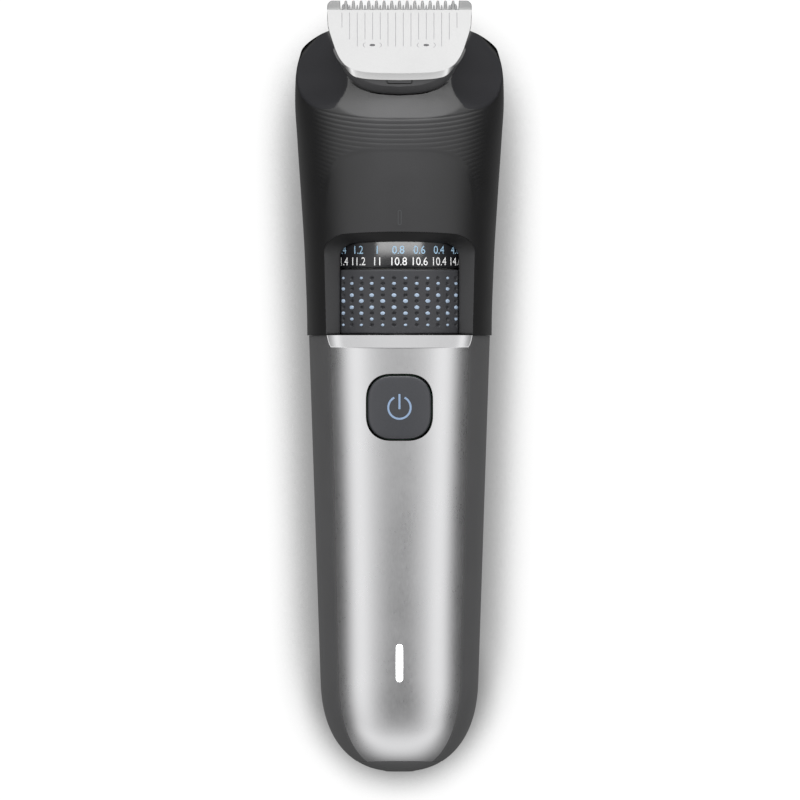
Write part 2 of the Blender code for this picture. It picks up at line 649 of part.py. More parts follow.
BOARD_LOW = 29.8
outline_board = [(-8.5, 6.0), (-8.5, -20.0), (-7.0, -24.0), (-7.0, -66.0), (7.0, -66.0), (7.0, -24.0), (8.5, -20.0), (8.5, 6.0)]
holes = [rounded_box(1.3, 1.3, 1.29, (0, y), steps=3)[::-1] for y in (-22.0, -44.0)]
finish(outline("circuit_board", [outline_board, *holes], BOARD_LOW, BOARD_LOW + 1.2), BOARD)
fastener("board_screw_upper", "Z", (0, -22.0), BOARD_LOW + 1.5, 1, 0.9, 4.0, 1.7, 0.9)
fastener("board_screw_lower", "Z", (0, -44.0), BOARD_LOW + 1.5, 1, 0.9, 4.0, 1.7, 0.9)
finish(box("tactile_switch", (-3.0, 3.0), (BUTTON_Y - 3.0, BUTTON_Y + 3.0), (31.3, 32.9), bevel=0.3), GREY)
finish(box("status_led", (-0.9, 0.9), (LIGHT_Y - 1.6, LIGHT_Y + 1.6), (31.3, 31.9), bevel=0.1), WHITE)

tilt = math.atan((FRONT_Z - 34.4) / (JOIN_Y + 65.1))
light_top = form(LIGHT_Y)[1]
light = outline(
    "light_pipe", [rounded_box(0.83, 4.25, 0.82)], -2.2, 0.0, at=(0, LIGHT_Y, light_top), turn=(tilt, 0, 0)
)
finish(light, LIGHT)

button_top = form(BUTTON_Y)[1]
button = outline("power_button", [rounded_box(BUTTON_HALF, BUTTON_HALF, 5.7)], -4.3, 0.0, at=(0, BUTTON_Y, button_top), turn=(tilt, 0, 0))
crown = button.modifiers.new("rounded", "BEVEL")
crown.width = 0.35 * MM
crown.segments = 2
crown.limit_method = "ANGLE"
# The top follows the panel's curve across the width.
bm = bmesh.new()
rows = []
for y in (BUTTON_Y - 9.0, BUTTON_Y + 9.0):
    rows.append([bm.verts.new(skin(y, a)) for a in spread(-34, 34, 16)])
for j in range(16):
    bm.faces.new((rows[0][j], rows[0][j + 1], rows[1][j + 1], rows[1][j]))
mesh = bpy.data.meshes.new("button_form")
bm.to_mesh(mesh)
bm.free()
crown_form = place("button_form", mesh, cutter=True)
solid = crown_form.modifiers.new("wall", "SOLIDIFY")
solid.thickness = 6.0 * MM
solid.offset = -1.0
cut(button, crown_form, operation="INTERSECT")
finish(button, BUTTON)

seal = outline(
    "button_seal", [rounded_box(9.0, 9.0, 6.9), rounded_box(7.35, 7.35, 5.9)[::-1]], 0, 0.9,
    at=(0, BUTTON_Y, 33.0),
)
finish(seal, RUBBER)

ring = []
for i in range(30):
    a = 2 * math.pi * i / 30
    ring.append((16.9 * math.sin(a), 9.9, 19.6 + (15.9 if math.cos(a) > 0 else 16.2) * math.cos(a)))
finish(wire("neck_seal", ring, 0.6, cyclic=True, resolution=1), RUBBER)


# ---- Origins on the joint axes ----


def on_axis(name, at, *pieces):
    """An empty on a joint's axis carries its pieces, which keep their place."""
    empty = bpy.data.objects.new(name, None)
    PARTS.objects.link(empty)
    empty.location = Vector(at) * MM
    empty.empty_display_size = 0.01
    for piece in pieces:
        obj = bpy.data.objects[piece]
        obj.parent = empty
        obj.matrix_parent_inverse = Matrix.Translation(-Vector(at) * MM)


on_axis("wheel_axis", (0, 18.75, WHEEL_AXIS_Z), "zoom_wheel", "scale_ring", "cam_barrel")
on_axis("carrier_axis", (0, FOLLOWER_Y, 5.5), "comb_carrier")
on_axis("drive_axis", (0, 16.0, WHEEL_AXIS_Z), "motor_shaft", "drive_shaft", "eccentric")
on_axis("lever_axis", (0, LEVER_PIVOT_Y, 20.0), "drive_lever", "lever_pin")
on_axis("cutter_axis", UNIT_AT, "moving_cutter", "cutter_yoke")
on_axis("unit_axis", HINGE_AT, "guard_blade", "blade_base", "cutter_spring")
on_axis("button_axis", (0, BUTTON_Y, button_top), "power_button")
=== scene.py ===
"""Looks of the cordless beard trimmer: fine surfaces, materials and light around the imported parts.

Lengths below are millimetres in the part's own frame, +Z is the front and +Y runs to the blade.
"""

import math

import bmesh
import bpy
import numpy as np
from mathutils import Matrix, Vector

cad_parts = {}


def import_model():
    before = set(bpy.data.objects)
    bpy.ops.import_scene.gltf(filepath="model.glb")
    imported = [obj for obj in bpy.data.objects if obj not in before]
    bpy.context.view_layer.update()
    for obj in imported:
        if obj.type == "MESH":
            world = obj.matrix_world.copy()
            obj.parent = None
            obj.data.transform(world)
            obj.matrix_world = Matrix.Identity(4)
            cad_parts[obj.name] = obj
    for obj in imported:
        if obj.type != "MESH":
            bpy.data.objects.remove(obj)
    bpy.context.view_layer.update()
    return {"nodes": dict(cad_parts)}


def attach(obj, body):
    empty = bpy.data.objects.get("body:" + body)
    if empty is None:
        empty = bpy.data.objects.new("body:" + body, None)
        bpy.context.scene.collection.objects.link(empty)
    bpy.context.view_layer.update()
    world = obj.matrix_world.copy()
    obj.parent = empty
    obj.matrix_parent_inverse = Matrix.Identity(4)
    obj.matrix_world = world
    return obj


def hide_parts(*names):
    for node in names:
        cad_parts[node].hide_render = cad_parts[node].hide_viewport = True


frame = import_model()

scene = bpy.context.scene
MM = 0.001

# ---------------------------------------------------------------- shape functions

TIP_Y, JOIN_Y, HEAD_END = -85.6, 11.45, 79.0
POWER, FLAT_RATIO = 2.4, 0.9375
PARTING = 46.5
WHEEL_Z, WHEEL_R, SCALE_R = 20.5, 17.0, 16.6
BUTTON_Y, LIGHT_Y = -4.64, -61.35
UNIT_AT, UNIT_TILT = np.array((0.0, 77.0, 34.2)), math.radians(-6.0)

WIDTHS = [(11.3, 20.5), (11.6, 20.5), (28, 21), (41.4, 21.8), (54.8, 22.7), (63.6, 23.2), (68.1, 23.1), (70.8, 22.8), (73.4, 22.15), (74.8, 21.7), (76.1, 20.6), (77.4, 18.9), (78.3, 17.4), (79, 15.8)]
FRONTS = [(11.4, 39.0), (38, 39.0), (45, 38.8), (52, 38.0), (56, 37.1), (59.7, 35.9), (64, 33.9), (70, 32.0), (75, 30.9), (79, 29.0)]
BACKS = [(11.6, 0), (30, 0), (38, 0.5), (46, 1.5), (55, 3.2), (64, 5.4), (72, 7.8), (77, 10.2), (79, 12.4)]


def curve_through(table):
    """A smooth curve through the stations that never overshoots them."""
    x = np.array([p[0] for p in table], float)
    v = np.array([p[1] for p in table], float)
    h = np.diff(x)
    d = np.diff(v) / h
    m = np.zeros_like(v)
    m[0], m[-1] = d[0], d[-1]
    for i in range(1, len(v) - 1):
        if d[i - 1] * d[i] > 0:
            a, b = 2 * h[i] + h[i - 1], h[i] + 2 * h[i - 1]
            m[i] = (a + b) / (a / d[i - 1] + b / d[i])

    def at(y):
        y = np.clip(np.asarray(y, float), x[0], x[-1])
        i = np.clip(np.searchsorted(x, y) - 1, 0, len(h) - 1)
        t = (y - x[i]) / h[i]
        return (
            v[i] * (1 + 2 * t) * (1 - t) ** 2 + m[i] * h[i] * t * (1 - t) ** 2
            + v[i + 1] * t * t * (3 - 2 * t) + m[i + 1] * h[i] * t * t * (t - 1)
        )

    return at


head_width, head_front, head_back = curve_through(WIDTHS), curve_through(FRONTS), curve_through(BACKS)


def smooth(t):
    t = np.clip(t, 0, 1)
    return t * t * (3 - 2 * t)


def softmin(a, b, k):
    h = np.clip(0.5 + 0.5 * (b - a) / k, 0, 1)
    return b + (a - b) * h - k * h * (1 - h)


def dome(y):
    t = np.clip((np.asarray(y, float) - TIP_Y) / 20.5, 0, 1)
    return (1 - (1 - t) ** 2.4) ** (1 / 2.4)


BULGE = 0.95


def grip(y):
    """(half-width, front, back, widest level) of the grip; its front is slightly bowed along its length."""
    y = np.asarray(y, float)
    low = (y + 65.1) / (JOIN_Y + 65.1)
    width = 17.55 + 2.55 * low
    mid = 17.0 + 2.5 * np.maximum(low, 0)
    front = 34.4 + 4.6 * low + BULGE * (1 - ((y + 27.0) / 38.6) ** 2) * smooth((y + 78) / 12)
    d = dome(y)
    return width * d, mid + (front - mid) * d, mid * (1 - d), mid


def head(y):
    y = np.asarray(y, float)
    return head_width(y), head_front(y), head_back(y), 19.5 + 0 * y


def section(form, y, start, end, count, power=POWER):
    """count + 1 evenly spaced points of the closed section at y, from start to end degrees (0 is the front, 90 the right side)."""
    width, front, back, mid = (float(v) for v in form(y))
    a = np.radians(np.linspace(start, end, 2400))
    s = np.sign(np.sin(a)) * np.abs(np.sin(a)) ** (2 / power)
    c = np.sign(np.cos(a)) * np.abs(np.cos(a)) ** (2 / power)
    x = width * s
    z = np.where(c >= 0, mid + (front - mid) * c, np.maximum(back, mid + (mid - back) / FLAT_RATIO * c))
    step = np.concatenate([[0], np.cumsum(np.hypot(np.diff(x), np.diff(z)))])
    at = np.linspace(0, step[-1], count + 1)
    return np.stack([np.interp(at, step, x), np.full(count + 1, float(y)), np.interp(at, step, z)], 1)


def front_height(form, x, y, power=POWER):
    width, front, _, mid = form(y)
    u = np.clip(np.abs(x) / width, 0, 0.9999)
    return mid + (front - mid) * (1 - u**power) ** (1 / power)


# ---------------------------------------------------------------- mesh helpers


def new_object(name, verts, faces, mats=(), smooth_angle=32, index=None):
    mesh = bpy.data.meshes.new(name)
    mesh.from_pydata([tuple(v) for v in np.asarray(verts, float) * MM], [], [tuple(int(i) for i in f) for f in faces])
    mesh.validate()
    obj = bpy.data.objects.new(name, mesh)
    scene.collection.objects.link(obj)
    for m in mats:
        mesh.materials.append(m)
    if index is not None:
        mesh.polygons.foreach_set("material_index", np.asarray(index, np.int32))
    if smooth_angle:
        mesh.shade_smooth()
        mesh.set_sharp_from_angle(angle=math.radians(smooth_angle))
    return obj


def normals(grid, wrap):
    if wrap:
        du = np.roll(grid, -1, 1) - np.roll(grid, 1, 1)
    else:
        du = np.gradient(grid, axis=1)
    dv = np.gradient(grid, axis=0)
    n = np.cross(du, dv)
    return n / np.maximum(np.linalg.norm(n, axis=2, keepdims=True), 1e-12)


def quads(rows, cols, wrap=False, base=0, flip=False):
    i, j = np.meshgrid(np.arange(rows - 1), np.arange(cols if wrap else cols - 1), indexing="ij")
    k = (j + 1) % cols
    f = np.stack([i * cols + j, (i + 1) * cols + j, (i + 1) * cols + k, i * cols + k], -1).reshape(-1, 4) + base
    return f[:, ::-1] if flip else f


def shell(name, grid, wall, mats, wrap=False, caps=False, inner=None):
    """A closed shell: the outer grid, an inner one under it and the edges between."""
    rows, cols, _ = grid.shape
    n = normals(grid, wrap)
    below = grid - n * wall if inner is None else inner
    count = rows * cols
    faces = [quads(rows, cols, wrap), quads(rows, cols, wrap, count, True)]
    c = np.arange(cols if wrap else cols - 1)
    k = (c + 1) % cols
    a, b = c, k
    faces.append(np.stack([a, b, b + count, a + count], 1))
    last = (rows - 1) * cols
    faces.append(np.stack([a + last + count, b + last + count, b + last, a + last], 1))
    if not wrap:
        r = np.arange(rows - 1) * cols
        faces.append(np.stack([r + count, r + cols + count, r + cols, r], 1))
        e = r + cols - 1
        faces.append(np.stack([e, e + cols, e + cols + count, e + count], 1))
    obj = new_object(name, np.concatenate([grid.reshape(-1, 3), below.reshape(-1, 3)]), np.concatenate(faces), mats, 0)
    tidy(obj)
    return obj


def tidy(obj, angle=32):
    bm = bmesh.new()
    bm.from_mesh(obj.data)
    bmesh.ops.recalc_face_normals(bm, faces=bm.faces)
    bm.to_mesh(obj.data)
    bm.free()
    obj.data.shade_smooth()
    obj.data.set_sharp_from_angle(angle=math.radians(angle))


def prism(name, points, low, high, matrix=None):
    """A closed prism over an outline, used to cut."""
    n = len(points)
    verts = [(x, y, z) for z in (low, high) for x, y in points]
    faces = [list(range(n))[::-1], list(range(n, 2 * n))] + [[i, (i + 1) % n, n + (i + 1) % n, n + i] for i in range(n)]
    mesh = bpy.data.meshes.new(name)
    mesh.from_pydata([tuple(v) for v in np.array(verts, float)], [], faces)
    if matrix is not None:
        mesh.transform(matrix)
    mesh.transform(Matrix.Scale(MM, 4))
    obj = bpy.data.objects.new(name, mesh)
    scene.collection.objects.link(obj)
    tidy(obj)
    return obj


def carve(obj, *cutters, operation="DIFFERENCE", angle=32):
    for cutter in cutters:
        m = obj.modifiers.new("carve", "BOOLEAN")
        m.operation, m.solver, m.object = operation, "EXACT" if len(obj.data.vertices) < 3000 else "MANIFOLD", cutter
        bpy.context.view_layer.update()
        mesh = bpy.data.meshes.new_from_object(obj.evaluated_get(bpy.context.evaluated_depsgraph_get()))
        obj.modifiers.clear()
        old, obj.data = obj.data, mesh
        bpy.data.meshes.remove(old)
    for cutter in cutters:
        bpy.data.objects.remove(cutter, do_unlink=True)
    obj.data.shade_smooth()
    obj.data.set_sharp_from_angle(angle=math.radians(angle))
    return obj


def join(name, parts):
    """One object from several, keeping their materials."""
    bm = bmesh.new()
    mats, mesh = [], bpy.data.meshes.new(name)
    for part in parts:
        start = len(bm.faces)
        bm.from_mesh(part.data)
        bm.faces.ensure_lookup_table()
        local = [m for m in part.data.materials]
        for face in bm.faces[start:]:
            m = local[face.material_index]
            if m not in mats:
                mats.append(m)
            face.material_index = mats.index(m)
        bpy.data.objects.remove(part, do_unlink=True)
    bm.to_mesh(mesh)
    bm.free()
    for m in mats:
        mesh.materials.append(m)
    obj = bpy.data.objects.new(name, mesh)
    scene.collection.objects.link(obj)
    return obj


def squircle(half_x, half_y, radius, centre=(0, 0), power=2.4, steps=16):
    pts = []
    for quarter in range(4):
        for i in range(steps + 1):
            a = math.radians(90 * (quarter + i / steps))
            c, s = math.cos(a), math.sin(a)
            px = math.copysign(abs(c) ** (2 / power), c) * radius
            py = math.copysign(abs(s) ** (2 / power), s) * radius
            qx = (half_x - radius) * (1 if quarter in (0, 3) else -1)
            qy = (half_y - radius) * (1 if quarter in (0, 1) else -1)
            p = (centre[0] + qx + px, centre[1] + qy + py)
            if not pts or math.dist(p, pts[-1]) > 1e-4:
                pts.append(p)
    return pts if math.dist(pts[0], pts[-1]) > 1e-4 else pts[:-1]


def dress(obj, body, slot, *nodes):
    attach(obj, body)
    if nodes:
        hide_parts(*nodes)
    return obj


# ---------------------------------------------------------------- materials


def material(name, colour, rough, metallic=0.0, grain=900.0, vary=0.08, rough_vary=0.05, bump=0.03, stretch=(1, 1, 1), specular=0.5, coat=0.0, side=None, along=None, bump_distance=0.00005, sheen=0.0, transmission=0.0):
    """A surface with its own fine grain: colour, gloss and relief all vary a little through the piece; side and along
    paint shade by darkening the colour by position.
    """
    mat = bpy.data.materials.new(name)
    mat.use_nodes = True
    tree = mat.node_tree
    nodes, links = tree.nodes, tree.links
    bsdf = nodes["Principled BSDF"]
    where = nodes.new("ShaderNodeTexCoord")
    shift = nodes.new("ShaderNodeMapping")
    shift.inputs["Scale"].default_value = stretch
    links.new(where.outputs["Object"], shift.inputs["Vector"])
    fine = nodes.new("ShaderNodeTexNoise")
    fine.inputs["Scale"].default_value = grain
    fine.inputs["Detail"].default_value = 4
    links.new(shift.outputs["Vector"], fine.inputs["Vector"])
    broad = nodes.new("ShaderNodeTexNoise")
    broad.inputs["Scale"].default_value = grain / 22
    broad.inputs["Detail"].default_value = 3
    links.new(where.outputs["Object"], broad.inputs["Vector"])
    both = nodes.new("ShaderNodeMath")
    both.operation = "MULTIPLY_ADD"
    both.inputs[1].default_value = 0.6
    links.new(fine.outputs["Fac"], both.inputs[0])
    half = nodes.new("ShaderNodeMath")
    half.operation = "MULTIPLY"
    half.inputs[1].default_value = 0.4
    links.new(broad.outputs["Fac"], half.inputs[0])
    links.new(half.outputs[0], both.inputs[2])
    ramp = nodes.new("ShaderNodeValToRGB")
    ramp.color_ramp.elements[0].position = 0.25
    ramp.color_ramp.elements[1].position = 0.75
    ramp.color_ramp.elements[0].color = (*[c * (1 - vary) for c in colour], 1)
    ramp.color_ramp.elements[1].color = (*[min(1.0, c * (1 + vary)) for c in colour], 1)
    links.new(both.outputs[0], ramp.inputs["Fac"])
    out = ramp.outputs["Color"]
    if side is not None:
        # Painted shade: the colour darkens towards the sides.
        axes = nodes.new("ShaderNodeSeparateXYZ")
        links.new(where.outputs["Object"], axes.inputs[0])
        away = nodes.new("ShaderNodeMath")
        away.operation = "ABSOLUTE"
        links.new(axes.outputs["X"], away.inputs[0])
        painted_shade_fall = nodes.new("ShaderNodeMapRange")
        painted_shade_fall.interpolation_type = "SMOOTHSTEP"
        painted_shade_fall.inputs["From Min"].default_value = side[0] * MM
        painted_shade_fall.inputs["From Max"].default_value = side[1] * MM
        painted_shade_fall.inputs["To Min"].default_value = 1.0
        painted_shade_fall.inputs["To Max"].default_value = side[2]
        links.new(away.outputs[0], painted_shade_fall.inputs["Value"])
        times = nodes.new("ShaderNodeVectorMath")
        times.operation = "SCALE"
        links.new(out, times.inputs[0])
        links.new(painted_shade_fall.outputs["Result"], times.inputs["Scale"])
        out = times.outputs["Vector"]
    if along is not None:
        # Painted shade: the colour darkens towards one end along Y.
        axes = nodes.new("ShaderNodeSeparateXYZ")
        links.new(where.outputs["Object"], axes.inputs[0])
        painted_shade_fall = nodes.new("ShaderNodeMapRange")
        painted_shade_fall.interpolation_type = "SMOOTHSTEP"
        painted_shade_fall.inputs["From Min"].default_value = along[0] * MM
        painted_shade_fall.inputs["From Max"].default_value = along[1] * MM
        painted_shade_fall.inputs["To Min"].default_value = 1.0
        painted_shade_fall.inputs["To Max"].default_value = along[2]
        links.new(axes.outputs["Y"], painted_shade_fall.inputs["Value"])
        times = nodes.new("ShaderNodeVectorMath")
        times.operation = "SCALE"
        links.new(out, times.inputs[0])
        links.new(painted_shade_fall.outputs["Result"], times.inputs["Scale"])
        out = times.outputs["Vector"]
    links.new(out, bsdf.inputs["Base Color"])
    gloss = nodes.new("ShaderNodeMapRange")
    gloss.inputs["From Min"].default_value = 0.3
    gloss.inputs["From Max"].default_value = 0.7
    gloss.inputs["To Min"].default_value = max(0.02, rough - rough_vary)
    gloss.inputs["To Max"].default_value = min(1.0, rough + rough_vary)
    links.new(both.outputs[0], gloss.inputs["Value"])
    links.new(gloss.outputs["Result"], bsdf.inputs["Roughness"])
    if bump:
        relief = nodes.new("ShaderNodeBump")
        relief.inputs["Strength"].default_value = bump
        relief.inputs["Distance"].default_value = bump_distance
        links.new(both.outputs[0], relief.inputs["Height"])
        links.new(relief.outputs["Normal"], bsdf.inputs["Normal"])
    bsdf.inputs["Metallic"].default_value = metallic
    bsdf.inputs["Specular IOR Level"].default_value = specular
    bsdf.inputs["Coat Weight"].default_value = coat
    bsdf.inputs["Coat Roughness"].default_value = 0.08
    bsdf.inputs["Sheen Weight"].default_value = sheen
    bsdf.inputs["Transmission Weight"].default_value = transmission
    return mat


M = {
    "silver": material("satin_silver", (0.80, 0.80, 0.81), 0.30, 1.0, grain=2600, vary=0.03, rough_vary=0.04, bump=0.0, stretch=(1, 0.35, 1)),
    "housing": material("grey_housing", (0.108, 0.108, 0.110), 0.42, grain=3200, vary=0.10, bump=0.25),
    # Matte black head shell with painted shade: darker towards the sides and towards the blade end.
    "shell": material("matte_black", (0.046, 0.046, 0.048), 0.40, grain=3600, vary=0.10, bump=0.35, side=(3, 18.5, 0.24), along=(60, 67, 0.5)),
    "base": material("cutter_carrier_plastic", (0.085, 0.085, 0.088), 0.42, grain=3000, vary=0.08, bump=0.3),
    # A darker copy of the head's matte black: painted shade for the shoulders beside the facet.
    "shoulder": material("matte_black_painted_shade_shoulder", (0.024, 0.024, 0.027), 0.46, grain=3600, vary=0.10, bump=0.3, specular=0.18),
    # Painted shade: the window frame's colour darkens towards its upper edge.
    "frame": material("window_frame_black", (0.055, 0.055, 0.057), 0.50, grain=3000, vary=0.08, bump=0.25, specular=0.3, along=(28.5, 32.5, 0.15)),
    "wheel": material("wheel_rubber", (0.053, 0.054, 0.060), 0.50, grain=2600, vary=0.12, bump=0.35),
    "dot": material("wheel_dot", (0.46, 0.58, 0.74), 0.26, grain=1800, vary=0.06, bump=0.1),
    "button": material("button_plastic", (0.066, 0.068, 0.076), 0.36, grain=2400, vary=0.08, bump=0.2),
    "icon": material("button_icon", (0.34, 0.47, 0.68), 0.45, grain=2400, vary=0.05, bump=0.05),
    "print_blue": material("scale_print_blue", (0.22, 0.33, 0.43), 0.5, grain=2500, vary=0.04, bump=0.05, specular=0.06),
    "print_white": material("scale_print_white", (0.52, 0.52, 0.52), 0.5, grain=2500, vary=0.04, bump=0.05, specular=0.06),
    "mark": material("index_print", (0.085, 0.087, 0.092), 0.5, grain=2500, vary=0.05, bump=0.05),
    "blade": material("ground_steel", (0.90, 0.90, 0.90), 0.24, 1.0, grain=2800, vary=0.015, rough_vary=0.03, bump=0.01),
    "cutter": material("cutter_steel", (0.60, 0.60, 0.61), 0.34, 1.0, grain=1500, vary=0.05, bump=0.10, stretch=(1, 0.12, 1)),
    "etch": material("etched_line", (0.60, 0.60, 0.61), 0.55, 1.0, grain=2500, vary=0.05, bump=0.1),
    "weld": material("weld_pit", (0.25, 0.25, 0.26), 0.6, 1.0, grain=3500, vary=0.25, bump=0.6),
    "steel": material("bright_steel", (0.72, 0.72, 0.73), 0.26, 1.0, grain=1800, vary=0.06, bump=0.12, stretch=(1, 0.2, 1)),
    "cast": material("motor_steel", (0.52, 0.52, 0.53), 0.40, 1.0, grain=700, vary=0.10, rough_vary=0.08, bump=0.2, stretch=(1, 0.15, 1)),
    "brass": material("brass", (0.72, 0.52, 0.24), 0.34, 1.0, grain=1200, vary=0.10, rough_vary=0.08, bump=0.15),
    "contact": material("contact_metal", (0.80, 0.66, 0.40), 0.30, 1.0, grain=1600, vary=0.08, bump=0.1),
    "white": material("white_plastic", (0.62, 0.62, 0.60), 0.45, grain=1500, vary=0.04, bump=0.2),
    "grey": material("grey_plastic", (0.20, 0.20, 0.21), 0.45, grain=1700, vary=0.08, bump=0.25),
    "rubber": material("seal_rubber", (0.016, 0.016, 0.016), 0.7, grain=1400, vary=0.15, bump=0.4, sheen=0.1),
    "board": material("solder_mask", (0.02, 0.15, 0.06), 0.32, grain=450, vary=0.25, rough_vary=0.08, bump=0.25, coat=0.3),
    "cell": material("cell_wrap", (0.03, 0.11, 0.32), 0.28, grain=500, vary=0.08, bump=0.1, coat=0.3),
    "led": material("led_body", (0.75, 0.75, 0.70), 0.3, grain=1200, vary=0.04, bump=0.1),
    "sleeve": material("window_lining", (0.012, 0.012, 0.013), 0.6, grain=2500, vary=0.1, bump=0.2),
}


def glow(name, colour, strength):
    """A lit diffuser with a faint grain."""
    mat = material(name, (0.9, 0.9, 0.9), 0.35, grain=1500, vary=0.03, bump=0.05)
    nodes, links = mat.node_tree.nodes, mat.node_tree.links
    bsdf = nodes["Principled BSDF"]
    ramp = next(n for n in nodes if n.type == "VALTORGB")
    lift = nodes.new("ShaderNodeVectorMath")
    lift.operation = "MULTIPLY"
    lift.inputs[1].default_value = colour
    links.new(ramp.outputs["Color"], lift.inputs[0])
    links.new(lift.outputs["Vector"], bsdf.inputs["Emission Color"])
    bsdf.inputs["Emission Strength"].default_value = strength
    return mat




M["gloss"] = material("gloss_black_scale", (0.006, 0.006, 0.007), 0.17, grain=700, vary=0.10, rough_vary=0.03, bump=0.02)
M["light"] = glow("light_pipe_lit", (1.0, 1.0, 1.0), 2.6)

# ---------------------------------------------------------------- grip

GRIP_ROWS = np.concatenate([np.arange(-83.3, -62, 0.35), np.arange(-62, 8.2, 0.6), np.arange(8.2, 11.31, 0.13)])


def lip():
    """The bright band that closes the front panel under the head, a little proud and flatter than the panel."""
    columns = np.concatenate([[-1.0, -0.996, -0.988], np.linspace(-0.98, 0.98, 71), [0.988, 0.996, 1.0]])
    verts, aims = [], []
    for v in (-0.08, -0.03, 0.0, 0.12, 0.3, 0.55, 0.8, 1.0):
        up = max(v, 0.0)
        half = 15.35 + 0.80 * up ** 0.6
        for u in columns:
            x = 0.05 + half * u
            low = 8.58 + 0.30 * (x / 15.5) ** 2
            y = low + (11.34 - low) * v
            z = front_height(grip, x, y)
            lean = (front_height(grip, x + 0.05, y) - front_height(grip, x - 0.05, y)) / 0.1
            end = abs(u) > 0.992
            lift = (0.26 if v >= 0 else 0.26 + 3.4 * v) * (0.25 if abs(u) > 0.995 else 1.0)
            verts.append((x, y, z + lift))
            if v < 0:
                aims.append((-lean * 0.5, -0.16, 1.0))
            elif end:
                aims.append((0.40 * np.sign(u), 0.05, 1.0))
            else:
                aims.append((-lean * (0.30 + 0.36 * smooth((abs(u) - 0.76) / 0.20)), 0.085, 1.0))
    grid = np.array(verts).reshape(8, len(columns), 3)
    obj = new_object("lip", grid.reshape(-1, 3), quads(8, len(columns), flip=True), [M["silver"]], 0)
    obj.data.shade_smooth()
    return obj, np.array(aims)


def front_panel():
    rows = []
    for y in GRIP_ROWS:
        rows.append(section(grip, y, -PARTING, PARTING, 110))
    p = np.array(rows)
    # The parting edges are slightly rounded.
    edge = np.minimum(np.arange(111), np.arange(111)[::-1]) * 0.27
    p[..., 2] -= 0.10 * np.clip(1 - edge / 0.5, 0, 1)[None, :] ** 2
    obj = shell("visual_front_panel", p, 1.2, [M["silver"]])
    hole = prism("hole", squircle(7.45, 7.45, 6.0, (0, BUTTON_Y)), 28, 46)
    slot = prism("slot", squircle(0.80, 4.20, 0.79, (0, LIGHT_Y), 2.0), 28, 46)
    obj = carve(obj, hole, slot)
    band, aims = lip()
    start = len(obj.data.vertices)
    obj = join("visual_front_panel", [obj, band])
    # The panel keeps the shading of its own curve up to the openings' edges, and the band that of a flatter one.
    loops = [tuple(n.vector) for n in obj.data.corner_normals]
    at = np.array([v.co for v in obj.data.vertices]) / MM
    x, y = at[:, 0], np.clip(at[:, 1], -83.2, 60)
    e = 0.03
    level = front_height(grip, x, y)
    lean = np.stack([(front_height(grip, x - e, y) - front_height(grip, x + e, y)) / (2 * e), (front_height(grip, x, y - e) - front_height(grip, x, y + e)) / (2 * e), np.ones(len(x))], 1)
    lean /= np.linalg.norm(lean, axis=1, keepdims=True)
    for poly in obj.data.polygons:
        for k in poly.loop_indices:
            v = obj.data.loops[k].vertex_index
            if v < start and abs(at[v, 2] - level[v]) < 0.2 and float(np.dot(poly.normal, lean[v])) > 0.9:
                loops[k] = tuple(lean[v])
    for loop in obj.data.loops:
        if loop.vertex_index >= start:
            n = aims[loop.vertex_index - start]
            loops[loop.index] = tuple(n / np.linalg.norm(n))
    obj.data.normals_split_custom_set(loops)
    return obj


dress(front_panel(), "housing", "silver_metal", "front_panel")


def rear_housing():
    rows = [section(grip, y, PARTING + 0.55, 360 - PARTING - 0.55, 230) for y in np.concatenate([np.arange(-83.3, -62, 0.4), np.arange(-62, 11.31, 1.0), [11.3]])]
    p = np.array(rows)
    edge = np.minimum(np.arange(231), np.arange(231)[::-1]) * 0.35
    p[..., 0] *= 1 - 0.012 * np.clip(1 - edge / 0.6, 0, 1)[None, :] ** 2
    return shell("visual_rear_housing", p, 1.8, [M["housing"]])


dress(rear_housing(), "housing", "dark_plastic", "rear_housing")


def bottom_cap():
    """The plug at the bottom end, with the socket's opening in it."""
    count = 120
    rings = []
    levels = [(-82.9, 0.90), (-83.2, 0.965), (-83.34, 0.992), (-83.6, 1.0), (-84.0, 1.0), (-84.4, 1.0), (-84.8, 1.0), (-85.1, 1.0), (-85.3, 0.99), (-85.45, 0.97), (-85.54, 0.92), (-85.58, 0.84), (-85.6, 0.7), (-85.6, 0.35)]
    for y, grow in levels:
        a = 2 * math.pi * np.arange(count) / count
        s = np.sign(np.sin(a)) * np.abs(np.sin(a)) ** (2 / POWER)
        c = np.sign(np.cos(a)) * np.abs(np.cos(a)) ** (2 / POWER)
        d = float(dome(max(y, -85.42))) * grow
        rings.append(np.stack([16.85 * d * s, np.full(count, y), 17.0 + 16.9 * d * c], 1))
    p = np.array(rings)
    verts = p.reshape(-1, 3)
    faces = [list(f) for f in quads(len(rings), count, True)]
    faces += [list(range(count)), list(range((len(rings) - 1) * count, len(rings) * count))]
    obj = new_object("visual_bottom_cap", verts, faces, [M["housing"]], 0)
    tidy(obj)
    turn = Matrix.Translation((0, -83.6, 13.4)) @ Matrix.Rotation(-math.pi / 2, 4, "X")
    inlet = prism("inlet", squircle(4.4, 2.25, 1.5, (0, 0), 2.0, 8), -4, 4, turn)
    recess = prism("recess", squircle(5.1, 2.95, 2.1, (0, 0), 2.0, 8), -4, -1.45, turn)
    return carve(obj, inlet, recess)


dress(bottom_cap(), "housing", "dark_plastic", "bottom_cap")

# ---------------------------------------------------------------- head

RIB_PITCH = 1.07


def facet(x, y):
    return 35.9 - 0.68 * (y - 59.7) - 0.0072 * x * x




def shoulder(x, y):
    """The slopes on both sides of the facet; their inner edges are straight creases."""
    near = 33.01 - 0.6 * (x - 14.5) - 0.97 * (y - 61.9)
    far = 30.50 - 0.6 * (x - 10.75) - 0.49 * (y - 66.4)
    return -softmin(-near, -far, 1.4) - 0.15


